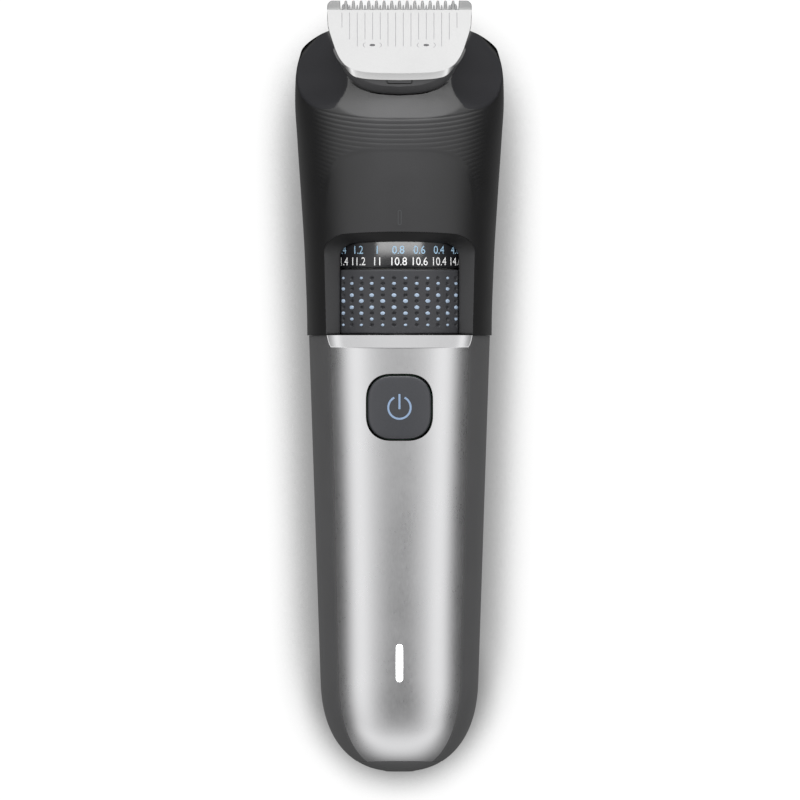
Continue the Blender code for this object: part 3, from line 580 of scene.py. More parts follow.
def shape_head(p, form):
    """Facet, shoulders, ribs and the raised middle of the head's front."""
    x, y, z = p[..., 0], p[..., 1], p[..., 2].copy()
    top = z > 20.5
    front = form(y)[1]
    # Ribs across the forward part, worn away towards the sides.
    f = y - 0.5 * (front - z)
    wave = (0.5 + 0.5 * np.cos(2 * math.pi * (f - 59.2) / RIB_PITCH)) ** 3
    ax = np.abs(x)
    inside = (ax / 16.7) ** 4 + (np.clip(y - 34.0, 0, None) / 18.35) ** 4
    raised = smooth((1.0 - inside) / 0.24 + 0.5)
    ends = smooth((f - 40.2) / 0.5) * smooth((59.9 - f) / 0.3)
    sides = smooth((20.6 - ax) / 3.5)
    z = np.where(top, z - 0.085 * wave * ends * sides * smooth((inside - 1.0) / 0.22), z)
    z = np.where(top, z + (0.24 - 0.36 * smooth((y - 44) / 6)) * (raised - 1) * smooth((y - 36) / 10) * smooth((22 - ax) / 4), z)
    z = np.where(top & (y > 56) & (ax > 9), softmin(z, shoulder(ax, y), 0.5), z)
    z = np.where(top, softmin(z, facet(x, y), 0.12), z)
    p = p.copy()
    p[..., 2] = z
    return p


def head_shell():
    ys = np.concatenate([[11.36], np.arange(11.6, 38, 0.55), np.arange(38, 62, 0.178), np.arange(62, 79, 0.25), [79.0]])
    p = np.array([section(head, y, 0, 360, 460)[:-1] for y in ys])
    inner_source = p
    p = shape_head(p, head)
    # The forward edge turns in.
    obj_grid = p
    n = normals(inner_source, True)
    inner = inner_source - n * 2.2
    inner[..., 2] = np.minimum(inner[..., 2], obj_grid[..., 2] - 1.2 * (n[..., 2] > 0.3))
    rows, cols, _ = obj_grid.shape
    count = rows * cols
    verts = np.concatenate([obj_grid.reshape(-1, 3), inner.reshape(-1, 3)])
    faces = [list(f) for f in quads(rows, cols, True)] + [list(f) for f in quads(rows, cols, True, count, True)]
    for j in range(cols):
        k = (j + 1) % cols
        faces.append([j, k, k + count, j + count])
    last = (rows - 1) * cols
    faces.append([last + j for j in range(cols)])
    faces.append([last + count + j for j in range(cols)][::-1])
    # Close the blind inner end one wall further back.
    verts[count + last:, 1] -= 1.8
    obj = new_object("visual_head_shell", verts, faces, [M["shell"], M["sleeve"], M["shoulder"]], 0)
    # The shoulder faces take the darker copy of the matte black, as painted shade.
    for poly in obj.data.polygons:
        x, y, z = (v / MM for v in poly.center)
        if z > 20.5 and y > 56 and abs(x) > 9 and float(shoulder(abs(x), y)) < min(float(facet(x, y)), z + 0.3):
            poly.material_index = 2
    tidy(obj, 40)
    window = prism("window", frame_outline(0.02, low=8.0), 24.0, 46)
    lever = prism("lever_gap", squircle(3.5, 2.2, 0.6, (0, 74.85), 2.0, 4), 24, 34)
    carrier = prism("carrier_gap", squircle(2.6, 5.3, 1.2, (0, 41.1), 2.0, 6), -4, 6)
    bay = prism("bay", offset_line(base_line(), 0.32) + [(19, 12), (-19, 12)], -5.3, 8, unit_matrix())
    return carve(obj, window, lever, carrier, bay, angle=40)


def unit_matrix():
    return Matrix.Translation(tuple(UNIT_AT)) @ Matrix.Rotation(UNIT_TILT, 4, "X")


def base_line(count=80):
    """The lower outline of the cutting unit's base, from its left side round to its right."""
    right = curve_through([(0, 0.0), (4, 0.28), (8, 1.35), (10.8, 3.4), (12.4, 5.6), (13.4, 7.6), (14.2, 9.9), (14.9, 12.3), (15.4, 15.0)])
    xs = 15.4 * np.sin(np.linspace(0, math.pi / 2, count // 2 + 1)) ** 1.0
    half = [(float(x), float(-12.0 + right(x))) for x in xs]
    return [(-x, y) for x, y in reversed(half[1:])] + half


def offset_line(points, by):
    """The same open line moved outwards (to its right) by a distance."""
    p = np.array(points, float)
    d = np.gradient(p, axis=0)
    n = np.stack([d[:, 1], -d[:, 0]], 1)
    n /= np.maximum(np.linalg.norm(n, axis=1, keepdims=True), 1e-9)
    q = p + n * by
    q[0, 0], q[-1, 0] = p[0, 0] - by, p[-1, 0] + by
    q[0, 1], q[-1, 1] = p[0, 1], p[-1, 1]
    return [(float(a), float(b)) for a, b in q]


def frame_line(half, top, radius, low, count=40, bow=0.0, power=2.0):
    """An upturned U: from the lower left, over the top and down to the lower right."""
    pts = []
    for y in np.linspace(low, top - radius, count):
        pts.append((-half, float(y)))
    for a in np.linspace(0, 90, 16)[1:]:
        c, s = math.cos(math.radians(a)), math.sin(math.radians(a))
        pts.append((-half + radius - radius * c ** (2 / power), top - radius + radius * s ** (2 / power)))
    for x in np.linspace(-half + radius, half - radius, count)[1:-1]:
        pts.append((float(x), top))
    right = [(-x, y) for x, y in reversed(pts[: count + 15])]
    pts += right
    return [(x, y - bow * (x / half) ** 2 * (1 if y > top - radius else 0) * min(1.0, (y - (top - radius)) / radius)) for x, y in pts]


def frame_outline(grow=0.0, low=11.55):
    line = frame_line(16.72 + grow, 34.27 + grow, 4.6, low, bow=0.9)
    return [(x * (1 - 0.026 * min(1.0, max(0.0, (30 - y) / 18.4))), y) for x, y in line]


def head_height(x, y):
    """The finished front surface of the head at one point."""
    x, y = np.asarray(x, float), np.asarray(y, float)
    p = np.stack([x, y, front_height(head, x, y)], -1)
    return shape_head(p, head)[..., 2]


dress(head_shell(), "housing", "black_soft", "head_shell")


def window_frame():
    """A frame that slopes from the head's surface down to the rim of the opening."""
    outer = np.array(frame_outline(-0.01))
    inner = np.array(frame_line(13.15, 32.12, 3.4, 11.55, bow=0.55))
    zo = head_height(outer[:, 0], outer[:, 1])
    zi = WHEEL_Z + np.sqrt(np.maximum(17.35**2 - inner[:, 0] ** 2, 0)) + 0.1
    zi = np.minimum(zi, zo)
    rows = []
    ends = [(0.0, -2.2, 0), (0.0, -0.05, 0), (0.01, -0.01, 0), (0.06, 0.0, 0)]
    for t, dz, _ in ends:
        rows.append((t, dz))
    for t in (0.2, 0.4, 0.6, 0.8):
        rows.append((t, 0.05 * math.sin(math.pi * t)))
    rows += [(0.90, 0.0), (0.96, -0.05), (0.99, -0.16), (1.0, -0.32), (1.0, -1.0)]
    grid = []
    for t, dz in rows:
        xy = outer * (1 - t) + inner * t
        grid.append(np.column_stack([xy, zo * (1 - t) + zi * t + dz]))
    p = np.array(grid)
    r, c, _ = p.shape
    obj = new_object("visual_window_frame", p.reshape(-1, 3), quads(r, c), [M["frame"]], 0)
    tidy(obj, 45)
    thick = obj.modifiers.new("wall", "SOLIDIFY")
    thick.thickness = 0.25 * MM
    thick.offset = -1
    return obj


dress(window_frame(), "housing", "black_soft", "window_frame")


def ribbon(name, points, width, height, mat, closed=False, lift=0.03):
    """A thin printed line on a surface given by height(x, y)."""
    p = np.array(points, float)
    if closed:
        d = np.roll(p, -1, 0) - np.roll(p, 1, 0)
    else:
        d = np.gradient(p, axis=0)
    n = np.stack([-d[:, 1], d[:, 0]], 1)
    n /= np.maximum(np.linalg.norm(n, axis=1, keepdims=True), 1e-9)
    a, b = p + n * width / 2, p - n * width / 2
    grid = np.array([np.column_stack([a, height(a[:, 0], a[:, 1]) + lift]), np.column_stack([b, height(b[:, 0], b[:, 1]) + lift])])
    verts = grid.reshape(-1, 3)
    return new_object(name, verts, quads(2, len(p), closed), [mat], 30)


def index_mark():
    line = squircle(0.34, 1.60, 0.33, (0.05, 37.4), 2.0, 10)
    return ribbon("visual_index_mark", line, 0.13, head_height, M["mark"], closed=True)


dress(index_mark(), "housing", "black_soft")

# ---------------------------------------------------------------- wheel and scale

ROW_Y = [24.0, 22.8, 21.6, 20.2, 18.9, 17.5, 16.2, 14.9, 13.6]


def zoom_wheel():
    """The grip wheel: a fine grid of dimples, with raised dots between them."""
    count = 630
    ys = np.concatenate([[11.6, 11.7, 11.8, 11.95, 12.15], np.arange(12.4, 25.3, 0.17), [25.35, 25.55, 25.7, 25.8, 25.9]])
    a = 2 * math.pi * np.arange(count) / count
    yy, aa = np.meshgrid(ys, a, indexing="ij")
    r = np.full_like(yy, WHEEL_R)
    edge = np.minimum(yy - 11.6, 25.9 - yy)
    r -= 0.35 * (1 - np.sqrt(1 - np.clip(1 - edge / 0.4, 0, 1) ** 2))
    pitch = 2 * math.pi / 21
    for k, row in enumerate(ROW_Y):
        start = math.radians(-46.9 + (8.57 if k % 2 else 0)) + pitch / 2
        off = ((aa - start + pitch / 2) % pitch - pitch / 2) * WHEEL_R
        size = (0.42, 0.34)
        d = (off / size[0]) ** 2 + ((yy - row) / size[1]) ** 2
        r -= 0.45 * smooth(1.3 - d)
    p = np.stack([r * np.sin(aa), yy, WHEEL_Z + r * np.cos(aa)], -1)
    inner = np.stack([np.full_like(r, 14.5) * np.sin(aa), yy, WHEEL_Z + 14.5 * np.cos(aa)], -1)
    body = shell("visual_zoom_wheel", p, 1, [M["wheel"]], wrap=True, inner=inner)
    parts = [body]
    sizes = [0.70, 0.80, 0.92, 1.0, 1.04, 1.02, 0.94, 0.82, 0.70]
    verts, faces = [], []
    for k, row in enumerate(ROW_Y):
        for i in range(21):
            at = math.radians(-46.9 + (8.57 if k % 2 else 0)) + i * pitch
            base = len(verts)
            hx, hy = 0.56 * sizes[k], 0.42 * sizes[k]
            for ring, (grow, up) in enumerate([(1.0, -0.05), (0.96, 0.10), (0.8, 0.17), (0.45, 0.21)]):
                for s in range(20):
                    t = 2 * math.pi * s / 20
                    b = at + hx * grow * math.cos(t) / WHEEL_R
                    rr = WHEEL_R + up
                    verts.append((rr * math.sin(b), row + hy * grow * math.sin(t), WHEEL_Z + rr * math.cos(b)))
            for ring in range(3):
                for s in range(20):
                    q = (s + 1) % 20
                    faces.append([base + ring * 20 + s, base + ring * 20 + q, base + ring * 20 + 20 + q, base + ring * 20 + 20 + s])
            faces.append([base + 60 + s for s in range(20)])
    dots = new_object("dots", verts, faces, [M["dot"]], 60)
    parts.append(dots)
    obj = join("visual_zoom_wheel", parts)
    tidy(obj, 40)
    return obj


dress(zoom_wheel(), "wheel", "wheel_plastic", "zoom_wheel")


def figures(labels, y, height, mat, start, step):
    """Printed figures wrapped round the scale."""
    verts, faces = [], []
    for i, label in enumerate(labels):
        data = bpy.data.curves.new("figure", "FONT")
        data.body = label
        data.size = height * 1.36
        data.align_x, data.align_y = "CENTER", "CENTER"
        data.space_character = 0.98
        data.resolution_u = 3
        obj = bpy.data.objects.new("figure", data)
        scene.collection.objects.link(obj)
        bpy.context.view_layer.update()
        mesh = bpy.data.meshes.new_from_object(obj.evaluated_get(bpy.context.evaluated_depsgraph_get()))
        bm = bmesh.new()
        bm.from_mesh(mesh)
        bmesh.ops.triangulate(bm, faces=bm.faces)
        bmesh.ops.subdivide_edges(bm, edges=[e for e in bm.edges if e.calc_length() > 0.5], cuts=2)
        bmesh.ops.triangulate(bm, faces=bm.faces)
        base = len(verts)
        at = math.radians(start + i * step)
        mid = (min(v.co.y for v in bm.verts) + max(v.co.y for v in bm.verts)) / 2
        for v in bm.verts:
            b = at + v.co.x * 0.92 / SCALE_R
            verts.append(((SCALE_R + 0.04) * math.sin(b), y + v.co.y - mid, WHEEL_Z + (SCALE_R + 0.04) * math.cos(b)))
        for f in bm.faces:
            faces.append([base + v.index for v in f.verts])
        bm.free()
        bpy.data.objects.remove(obj, do_unlink=True)
    return new_object("figures", verts, faces, [mat], 0)


def scale_ring():
    count = 240
    ys = [26.2, 26.28, 26.45, 27, 28, 29, 30, 31, 32, 32.95, 33.12, 33.2]
    drop = [e + 0.15 * ((y - 29.7) / 3.5) ** 2 for e, y in zip([0.22, 0.08, 0, 0, 0, 0, 0, 0, 0, 0, 0.08, 0.22], ys)]
    a = 2 * math.pi * np.arange(count) / count
    p = np.array([np.stack([(SCALE_R - d) * np.sin(a), np.full(count, y), WHEEL_Z + (SCALE_R - d) * np.cos(a)], 1) for y, d in zip(ys, drop)])
    inner = p.copy()
    inner[..., 0], inner[..., 2] = 14.5 * np.sin(a)[None, :], WHEEL_Z + 14.5 * np.cos(a)[None, :]
    ring = shell("visual_scale_ring", p, 1, [M["gloss"]], wrap=True, inner=inner)
    step = 360 / 22
    small = [f"{v:.1f}".rstrip("0").rstrip(".") for v in np.arange(0.4, 4.61, 0.2)]
    large = [f"{v:.1f}".rstrip("0").rstrip(".") for v in np.arange(10.4, 14.61, 0.2)]
    # The value at the mark rises as the wheel is turned to the right.
    first = 2
    upper = figures([small[(first + 2 - i) % 22] for i in range(22)], 30.27, 1.9, M["print_blue"], -2 * step - 0.9, step)
    lower = figures([large[(first + 2 - i) % 22] for i in range(22)], 27.72, 1.9, M["print_white"], -2 * step - 0.9, step)
    obj = join("visual_scale_ring", [ring, upper, lower])
    tidy(obj, 40)
    return obj


RING = scale_ring()
dress(RING, "wheel", "gloss_black", "scale_ring")

# ---------------------------------------------------------------- power button and light


def panel_height(x, y):
    return front_height(grip, np.asarray(x, float), np.asarray(y, float))


def power_button():
    ring = np.array(squircle(7.0, 7.0, 5.7, (0, 0), 2.4, 24))
    n = len(ring)
    rows = []
    for t in np.linspace(0.04, 0.93, 14):
        rows.append((t, 0.0))
    rows += [(0.955, -0.03), (0.975, -0.10), (0.99, -0.22), (1.0, -0.45), (1.0, -1.2), (1.0, -3.4)]
    grid = []
    for t, dz in rows:
        x, y = ring[:, 0] * t, ring[:, 1] * t + BUTTON_Y
        grid.append(np.column_stack([x, y, panel_height(x, y) + 0.02 + 0.12 * (1 - t * t) + dz]))
    p = np.array(grid)
    faces = [list(f) for f in quads(len(rows), n, True)] + [list(range(n)), [(len(rows) - 1) * n + i for i in range(n)]]
    body = new_object("visual_power_button", p.reshape(-1, 3), faces, [M["button"]], 0)
    tidy(body, 30)

    def top(x, y):
        t2 = (np.asarray(x) ** 2 + (np.asarray(y) - BUTTON_Y) ** 2) / 49.0
        return panel_height(x, y) + 0.02 + 0.12 * (1 - t2)

    cy = -4.7
    arc = [(2.48 * math.sin(math.radians(a)), cy + 2.48 * math.cos(math.radians(a))) for a in np.linspace(27, 333, 72)]
    bar = [(0.0, cy + y) for y in np.linspace(-0.35, 3.0, 12)]
    parts = [body, ribbon("arc", arc, 0.44, top, M["icon"]), ribbon("bar", bar, 0.44, top, M["icon"])]
    obj = join("visual_power_button", parts)
    tidy(obj, 35)
    return obj


dress(power_button(), "button", "button_plastic", "power_button")


def light_pipe():
    line = np.array(squircle(0.76, 4.16, 0.75, (0, 0), 2.0, 10))
    n = len(line)
    grid = []
    for t, dz in [(0.2, 0.0), (0.8, 0.0), (0.93, -0.05), (1.0, -0.2), (1.0, -2.0)]:
        x = line[:, 0] * t
        y = np.sign(line[:, 1]) * np.maximum(np.abs(line[:, 1]) - 0.76 * (1 - t), 0) + LIGHT_Y
        grid.append(np.column_stack([x, y, panel_height(x, y) - 0.05 + dz]))
    p = np.array(grid)
    faces = [list(f) for f in quads(len(grid), n, True)] + [list(range(n)), [(len(grid) - 1) * n + i for i in range(n)]]
    obj = new_object("visual_light_pipe", p.reshape(-1, 3), faces, [M["light"]], 0)
    tidy(obj, 40)
    return obj


dress(light_pipe(), "housing", "light", "light_pipe")

# ---------------------------------------------------------------- cutting unit


def in_unit(points):
    """Points of the cutting unit's own frame in the part's frame."""
    p = np.asarray(points, float)
    c, s = math.cos(UNIT_TILT), math.sin(UNIT_TILT)
    return np.stack([p[..., 0] + UNIT_AT[0], UNIT_AT[1] + c * p[..., 1] - s * p[..., 2], UNIT_AT[2] + s * p[..., 1] + c * p[..., 2]], -1)


blade_edge = curve_through([(0, -7.7), (3.3, -7.65), (6.6, -7.5), (9.8, -6.95), (12.0, -5.85), (13.4, -4.2), (14.4, -2.0), (15.2, 0.4), (15.85, 3.0), (16.0, 6.5)])


def blade_line(count=120):
    right = [(float(x), float(blade_edge(x))) for x in 14.4 * np.sin(np.linspace(0, math.pi / 2, count // 2))]
    right += [(15.2, 0.4), (15.6, 1.7), (15.9, 3.0), (16.0, 5.0)]
    return [(-x, y) for x, y in reversed(right[1:])] + right


def flat(name, points, low, high, mat, chamfer=0.0):
    """A plate over an outline with a small broken edge on top."""
    p = np.array(points, float)
    d = np.roll(p, -1, 0) - np.roll(p, 1, 0)
    n = np.stack([d[:, 1], -d[:, 0]], 1)
    n /= np.maximum(np.linalg.norm(n, axis=1, keepdims=True), 1e-9)
    levels = [(0, low), (0, high - chamfer), (chamfer, high)] if chamfer else [(0, low), (0, high)]
    grid = np.array([np.column_stack([p - n * inset, np.full(len(p), z)]) for inset, z in levels])
    m = len(p)
    faces = [list(f) for f in quads(len(levels), m, True)] + [list(range(m)), [(len(levels) - 1) * m + i for i in range(m)]]
    obj = new_object(name, in_unit(grid).reshape(-1, 3), faces, [mat], 0)
    tidy(obj, 25)
    return obj


def wedge(name, x, root, tip, y0, y1, n_low, n_root, n_tip, mat, shift=0.0):
    """One tooth: its sides taper and its face falls to the tip."""
    pts = []
    for t in np.linspace(0, 1, 7):
        w = (root + (tip - root) * t) / 2
        y = y0 + (y1 - y0) * t
        n = n_root + (n_tip - n_root) * (t**1.3)
        e = min(0.09, w * 0.3)
        round_off = 1 - 0.35 * max(0.0, (t - 0.8) / 0.2)
        w *= round_off
        pts.append([(x - w, y, n_low), (x - w, y, n - e), (x - w + e, y, n), (x + w - e, y, n), (x + w, y, n - e), (x + w, y, n_low)])
    p = in_unit(np.array(pts))
    r, c, _ = p.shape
    faces = [list(f) for f in quads(r, c, True)] + [list(range(c)), [(r - 1) * c + i for i in range(c)]]
    return new_object(name, p.reshape(-1, 3), faces, [mat], 0)


def guard_blade():
    face = 6.62
    line = blade_line() + [(16.0, face), (-16.0, face)]
    parts = [flat("plate", line, -0.8, 0.0, M["blade"], 0.10)]
    for i in range(15):
        parts.append(wedge("tooth", (i - 7) * 1.70, 0.98, 0.55, face - 0.3, 8.65, -0.8, 0.0, -0.50, M["blade"]))
    for side in (-1, 1):
        x0, x1 = sorted((side * 16.0, side * 13.05))
        pts = []
        for t in np.linspace(0, 1, 8):
            y = face - 0.1 + (8.65 - face + 0.1) * t
            curl = 0.9 * max(0.0, (t - 0.45) / 0.55) ** 2
            a, b = (x0 + curl, x1 - 0.15 * t) if side < 0 else (x0 + 0.15 * t, x1 - curl)
            n = -0.42 * max(0.0, t) ** 1.3
            pts.append([(a, y, -0.8), (a, y, n - 0.1), (a + 0.1, y, n), (b - 0.1, y, n), (b, y, n - 0.1), (b, y, -0.8)])
        p = in_unit(np.array(pts))
        faces = [list(f) for f in quads(8, 6, True)] + [list(range(6)), [42 + i for i in range(6)]]
        parts.append(new_object("end_tooth", p.reshape(-1, 3), faces, [M["blade"]], 0))
    # Rolled lower rim.
    line = np.array(blade_line())
    keep = line[line[:, 1] < -1.2]
    d = np.gradient(keep, axis=0)
    n = np.stack([d[:, 1], -d[:, 0]], 1)
    n /= np.linalg.norm(n, axis=1, keepdims=True)
    grid = []
    for t in np.linspace(0, 1, 9):
        out, down = 1.35 * t, 0.80 * t + 0.06 * t * t
        fade = (np.clip((-1.2 - keep[:, 1]) / 1.2, 0, 1) * (0.30 + 0.70 * smooth((12.2 - np.abs(keep[:, 0])) / 3.0)))[:, None]
        grid.append(np.column_stack([keep + n * out * fade, np.full(len(keep), -0.04 - down)]))
    for extra in (-1.5, -2.1):
        grid.append(np.column_stack([grid[8][:, :2], np.full(len(keep), extra)]))
    p = in_unit(np.array(grid))
    r, c, _ = p.shape
    parts.append(new_object("rim", p.reshape(-1, 3), quads(r, c), [M["blade"]], 40))

    def face_at(x, y):
        q = in_unit(np.stack([x, y, 0 * np.asarray(x)], -1))
        return q

    # Etched lines and weld marks.
    lows = {0: -1.65, 1: -1.65, 2: -0.1, 3: -0.1, 4: -0.1, 5: -1.65, 6: -0.1, 7: 2.5}
    for i in range(8):
        for side in (-1, 1):
            x = side * (0.85 + 1.7 * i)
            ys = np.linspace(lows[i], 5.9, 6)
            grid = np.array([[(x - 0.075, y, 0.012) for y in ys], [(x + 0.075, y, 0.012) for y in ys]])
            parts.append(new_object("line", in_unit(grid).reshape(-1, 3), quads(2, 6), [M["etch"]], 0))
    for x in (-6.0, 5.95):
        n = 40
        for low, high, r0, r1, m in ((-38, 38, 0.92, 1.0, "etch"), (142, 218, 0.92, 1.0, "etch"), (0, 360, 0.02, 0.30, "weld")):
            a = np.radians(np.linspace(low, high, n))
            grid = np.array([np.stack([x + 2.1 * r * np.cos(a), -1.35 + 0.88 * r * np.sin(a), np.full(n, 0.02)], 1) for r in (r0, r1)])
            parts.append(new_object("mark", in_unit(grid).reshape(-1, 3), quads(2, n), [M[m]], 0))
    obj = join("visual_guard_blade", parts)
    obj.data.shade_smooth()
    obj.data.set_sharp_from_angle(angle=math.radians(25))
    return obj


plate = guard_blade()
plate.visible_glossy = False
dress(plate, "cutting_unit", "blade_steel", "guard_blade")


def moving_cutter():
    parts = [flat("plate", [(-12.9, -2.0), (12.9, -2.0), (12.9, 6.0), (-12.9, 6.0)], -1.8, -1.1, M["cutter"], 0.08)]
    for i in range(27):
        parts.append(wedge("tooth", (i - 13) * 0.85, 0.66, 0.30, 5.9, 7.75, -1.8, -1.1, -1.2, M["cutter"]))
    for side in (-1, 1):
        parts.append(wedge("tooth", side * 12.0, 1.8, 1.5, 5.9, 7.95, -1.8, -1.1, -1.2, M["cutter"]))
    obj = join("visual_moving_cutter", parts)
    obj.data.shade_smooth()
    obj.data.set_sharp_from_angle(angle=math.radians(25))
    return obj


dress(moving_cutter(), "cutter", "blade_steel", "moving_cutter")


def blade_base():
    """The plastic crescent under the blade, with its latch notch."""
    line = np.array(base_line())
    d = np.gradient(line, axis=0)
    n = np.stack([d[:, 1], -d[:, 0]], 1)
    n /= np.linalg.norm(n, axis=1, keepdims=True)
    t_side = np.clip((-2.0 - line[:, 1]) / 6.0, 0, 1)
    rows = []
    inner = np.column_stack([line[:, 0] * 0.915, np.maximum(line[:, 1] * 0.44, -5.2)])
    for w, z in [(0.0, -1.15), (0.5, -1.12)]:
        rows.append(np.column_stack([inner * (1 - w) + (line - n * 2.2) * w, np.full(len(line), z)]))
    for inset, z in [(1.75, -1.12), (1.5, -1.16), (1.38, -1.3), (0.5, -2.45), (0.12, -3.1), (0.0, -3.6), (0.0, -4.5)]:
        rows.append(np.column_stack([line - n * inset, np.full(len(line), z)]))
    rows.append(np.column_stack([inner, np.full(len(line), -4.5)]))
    p = in_unit(np.array(rows))
    r, c, _ = p.shape
    faces = [list(f) for f in quads(r, c)]
    faces += [[(r - 1) * c + j, (r - 1) * c + j + 1, j + 1, j] for j in range(c - 1)]
    faces += [[i * c for i in range(r)], [i * c + c - 1 for i in range(r)][::-1]]
    obj = new_object("visual_blade_base", p.reshape(-1, 3), faces, [M["base"]], 0)
    tidy(obj, 30)
    notch = prism("notch", squircle(2.9, 1.35, 0.5, (0, -8.6), 2.0, 5), -2.3, 3, unit_matrix())
    carve(notch, prism("tongue", squircle(2.62, 1.07, 0.3, (0, -8.6), 2.0, 5), -4, 4, unit_matrix()))
    ears = []
    for side in (-1, 1):
        ear = prism("ear", squircle(2.6, 1.25, 1.2, (28.8, 80.55), 2.0, 6), side * 14.1 - 1.2, side * 14.1 + 1.2, Matrix(((0, 0, 1, 0), (0, 1, 0, 0), (1, 0, 0, 0), (0, 0, 0, 1))))
        ear.data.materials.append(M["base"])
        ears.append(ear)
    carve(obj, notch, angle=30)
    obj = join("visual_blade_base", [obj] + ears)
    tidy(obj, 30)
    return obj


crescent = blade_base()
crescent.visible_glossy = False
dress(crescent, "cutting_unit", "black_soft", "blade_base")

# ---------------------------------------------------------------- finishes of the pieces that keep their own shape

FINISH = {
    "zoom_wheel": "wheel", "scale_ring": "gloss", "front_panel": "silver", "rear_housing": "housing", "bottom_cap": "housing",
    "head_shell": "shell", "window_frame": "frame", "power_button": "button", "light_pipe": "light", "guard_blade": "blade",
    "moving_cutter": "cutter", "blade_base": "base",
    "motor_can": "cast", "motor_mount": "white", "motor_screw_left": "steel", "motor_screw_right": "steel", "motor_shaft": "steel",
    "drive_shaft": "steel", "shaft_bearing": "brass", "bearing_bracket": "white", "eccentric": "brass", "drive_lever": "grey",
    "lever_pin": "steel", "lever_pivot_pin": "steel", "lever_support": "white", "cutter_yoke": "grey", "cutter_spring": "steel",
    "hinge_bracket": "steel", "hinge_pin_left": "steel", "hinge_pin_right": "steel", "chassis": "white", "battery_cell": "cell",
    "battery_tab_front": "contact", "battery_tab_rear": "contact", "circuit_board": "board", "board_screw_upper": "steel",
    "board_screw_lower": "steel", "tactile_switch": "grey", "status_led": "led", "button_seal": "rubber", "neck_seal": "rubber",
    "charging_socket": "grey", "socket_pin_left": "contact", "socket_pin_right": "contact", "cam_barrel": "white",
    "comb_carrier": "grey", "wheel_bush": "white", "detent_spring": "steel",
}
for node, obj in frame["nodes"].items():
    look = M[FINISH[node]]
    if obj.material_slots:
        for s in obj.material_slots:
            s.material = look
    else:
        obj.data.materials.append(look)

# ---------------------------------------------------------------- floor, light and camera


PEAK = 7.6  # brightest direction


def stops(ramp, table):
    ramp.color_ramp.interpolation = "CARDINAL"
    elements = ramp.color_ramp.elements
    while len(elements) < len(table):
        elements.new(0.5)
    for e, (degrees, v) in zip(elements, table):
        e.position = degrees / 180
        e.color = (v / PEAK, v / PEAK, v / PEAK, 1)


def world():
    """A studio: dim straight above, broad bright panels at both sides, a bright one past the blade and a lower one past the grip."""
    w = bpy.data.worlds.new("studio")
    scene.world = w
    w.use_nodes = True
    nodes, links = w.node_tree.nodes, w.node_tree.links
    back = nodes["Background"]
    where = nodes.new("ShaderNodeTexCoord")
    axes = nodes.new("ShaderNodeSeparateXYZ")
    links.new(where.outputs["Generated"], axes.inputs[0])

    def math_node(kind, a, b=None, clamp=False):
        n = nodes.new("ShaderNodeMath")
        n.operation, n.use_clamp = kind, clamp
        for i, v in enumerate((a, b)):
            if v is None:
                continue
            if isinstance(v, (int, float)):
                n.inputs[i].default_value = v
            else:
                links.new(v, n.inputs[i])
        return n.outputs[0]

    x, y, z = axes.outputs
    turn = math_node("DIVIDE", math_node("ARCCOSINE", z), math.pi)
    xx, yy = math_node("MULTIPLY", x, x), math_node("MULTIPLY", y, y)
    flat_length = math_node("ADD", math_node("ADD", xx, yy), 0.00002)
    across = math_node("DIVIDE", xx, flat_length)
    # Low over the horizon the bright end panels are narrow.
    low = math_node("MULTIPLY", math_node("SUBTRACT", turn, 30 / 180), 180 / 25, True)
    narrow = math_node("MULTIPLY", across, 1.3, True)
    across = math_node("ADD", math_node("MULTIPLY", across, math_node("SUBTRACT", 1.0, low)), math_node("MULTIPLY", narrow, low), True)
    along = math_node("ADD", math_node("MULTIPLY", math_node("DIVIDE", y, math_node("SQRT", flat_length)), 0.5), 0.5, True)
    ramps = []
    for table in (
        [(0, 0.52), (8, 0.55), (16, 0.64), (24, 0.76), (32, 0.94), (42, 1.08), (52, 1.02), (60, 0.76), (68, 0.44), (76, 0.20), (86, 0.10), (100, 0.09), (135, 0.21), (180, 0.21)],
        [(0, 0.52), (5, 0.68), (9, 0.95), (14, 1.18), (20, 0.94), (28, 0.44), (38, 0.30), (48, 0.45), (56, 1.6), (63, 4.6), (70, 7.6), (77, 5.0), (85, 1.2), (94, 0.2), (120, 0.04), (180, 0.03)],
        [(0, 0.50), (4, 0.30), (9, 0.12), (16, 0.08), (27, 0.14), (40, 0.38), (54, 0.64), (70, 0.92), (85, 0.86), (100, 0.52), (120, 0.15), (180, 0.03)],
    ):
        ramp = nodes.new("ShaderNodeValToRGB")
        ramp.label = "brightness by height"
        stops(ramp, table)
        links.new(turn, ramp.inputs["Fac"])
        ramps.append(ramp.outputs["Color"])

    def mix(factor, a, b):
        n = nodes.new("ShaderNodeMix")
        n.data_type = "RGBA"
        links.new(factor, n.inputs[0])
        links.new(a, n.inputs[6])
        links.new(b, n.inputs[7])
        return n.outputs[2]

    ends = mix(along, ramps[2], ramps[1])
    links.new(mix(across, ends, ramps[0]), back.inputs["Color"])
    back.inputs["Strength"].default_value = PEAK
    return w


world()


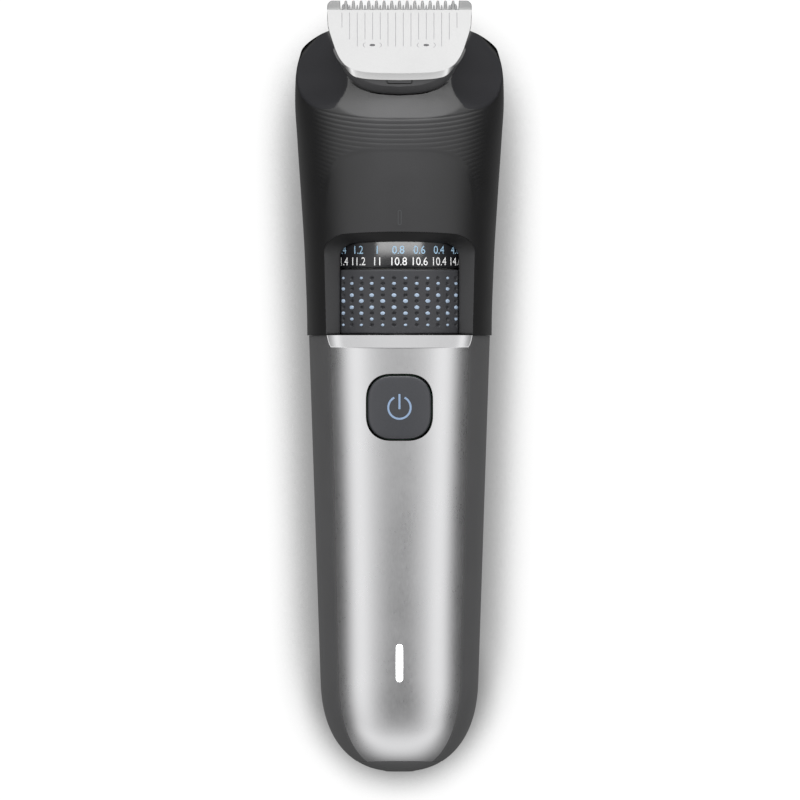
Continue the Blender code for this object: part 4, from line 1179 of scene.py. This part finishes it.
def floor():
    bm = bmesh.new()
    bmesh.ops.create_grid(bm, x_segments=8, y_segments=8, size=6.0)
    mesh = bpy.data.meshes.new("floor")
    bm.to_mesh(mesh)
    bm.free()
    obj = bpy.data.objects.new("floor", mesh)
    scene.collection.objects.link(obj)
    obj.location.z = -0.0002
    mat = bpy.data.materials.new("sweep")
    mat.use_nodes = True
    nodes, links = mat.node_tree.nodes, mat.node_tree.links
    bsdf = nodes["Principled BSDF"]
    bsdf.inputs["Base Color"].default_value = (0.1, 0.1, 0.1, 1)
    bsdf.inputs["Roughness"].default_value = 0.9
    bsdf.inputs["Specular IOR Level"].default_value = 0.0
    # Painted shadow: the floor's glow is dimmed near the part by ambient occlusion, a halo of shade round it.
    near = nodes.new("ShaderNodeAmbientOcclusion")
    near.samples = 24
    near.inputs["Distance"].default_value = 0.022
    ramp = nodes.new("ShaderNodeValToRGB")
    table = [(0.2, 0.10), (0.5, 0.26), (0.607, 0.41), (0.64, 0.55), (0.675, 0.67), (0.706, 0.79), (0.76, 0.90), (0.84, 0.965), (1.0, 0.98)]
    e = ramp.color_ramp.elements
    while len(e) < len(table):
        e.new(0.5)
    for stop, (at, v) in zip(e, table):
        stop.position, stop.color = at, (v, v, v, 1)
    links.new(near.outputs["AO"], ramp.inputs["Fac"])
    # Painted shadow: the floor is darker round the bottom end, in a wider and softer patch, as the bottom end stands
    # clear of the floor.
    where = nodes.new("ShaderNodeTexCoord")
    from_end = nodes.new("ShaderNodeVectorMath")
    from_end.operation = "DISTANCE"
    from_end.inputs[1].default_value = (0.0, -0.0695, 0.0)
    links.new(where.outputs["Object"], from_end.inputs[0])
    painted_end_shadow = nodes.new("ShaderNodeMapRange")
    painted_end_shadow.interpolation_type = "SMOOTHSTEP"
    painted_end_shadow.inputs["From Min"].default_value = 0.0135
    painted_end_shadow.inputs["From Max"].default_value = 0.0235
    painted_end_shadow.inputs["To Min"].default_value = 0.52
    painted_end_shadow.inputs["To Max"].default_value = 1.0
    links.new(from_end.outputs["Value"], painted_end_shadow.inputs["Value"])
    painted_floor_shadow = nodes.new("ShaderNodeVectorMath")
    painted_floor_shadow.operation = "SCALE"
    links.new(ramp.outputs["Color"], painted_floor_shadow.inputs[0])
    links.new(painted_end_shadow.outputs["Result"], painted_floor_shadow.inputs["Scale"])
    links.new(painted_floor_shadow.outputs["Vector"], bsdf.inputs["Emission Color"])
    bsdf.inputs["Emission Strength"].default_value = 1.0
    mesh.materials.append(mat)
    obj.visible_glossy = False
    obj.visible_diffuse = False
    obj.visible_shadow = False
    return obj


floor()


def strip_light():
    """A soft box over the gloss scale only, so that the scale shows it without more light on the rest."""
    lamp = bpy.data.lights.new("strip", "AREA")
    lamp.shape = "RECTANGLE"
    lamp.size, lamp.size_y = 0.72, 0.20
    lamp.energy = 4.1
    obj = bpy.data.objects.new("strip", lamp)
    scene.collection.objects.link(obj)
    obj.location = (0.0, 0.125, 0.535)
    obj.visible_camera = False
    only = bpy.data.collections.new("lit_by_strip")
    only.objects.link(RING)
    obj.light_linking.receiver_collection = only


strip_light()

camera = bpy.data.cameras.new("camera")
camera.sensor_width = 36
camera.lens = 36 / (2 * (0.17778 / 2) / 6.0)
camera.clip_start, camera.clip_end = 0.05, 20
eye = bpy.data.objects.new("camera", camera)
scene.collection.objects.link(eye)
eye.location = (0.00012, -0.00302, 6.0 + 0.0195)
scene.camera = eye

scene.view_settings.view_transform = "Standard"
scene.view_settings.look = "None"
scene.view_settings.exposure = 0.0
scene.view_settings.gamma = 1.0
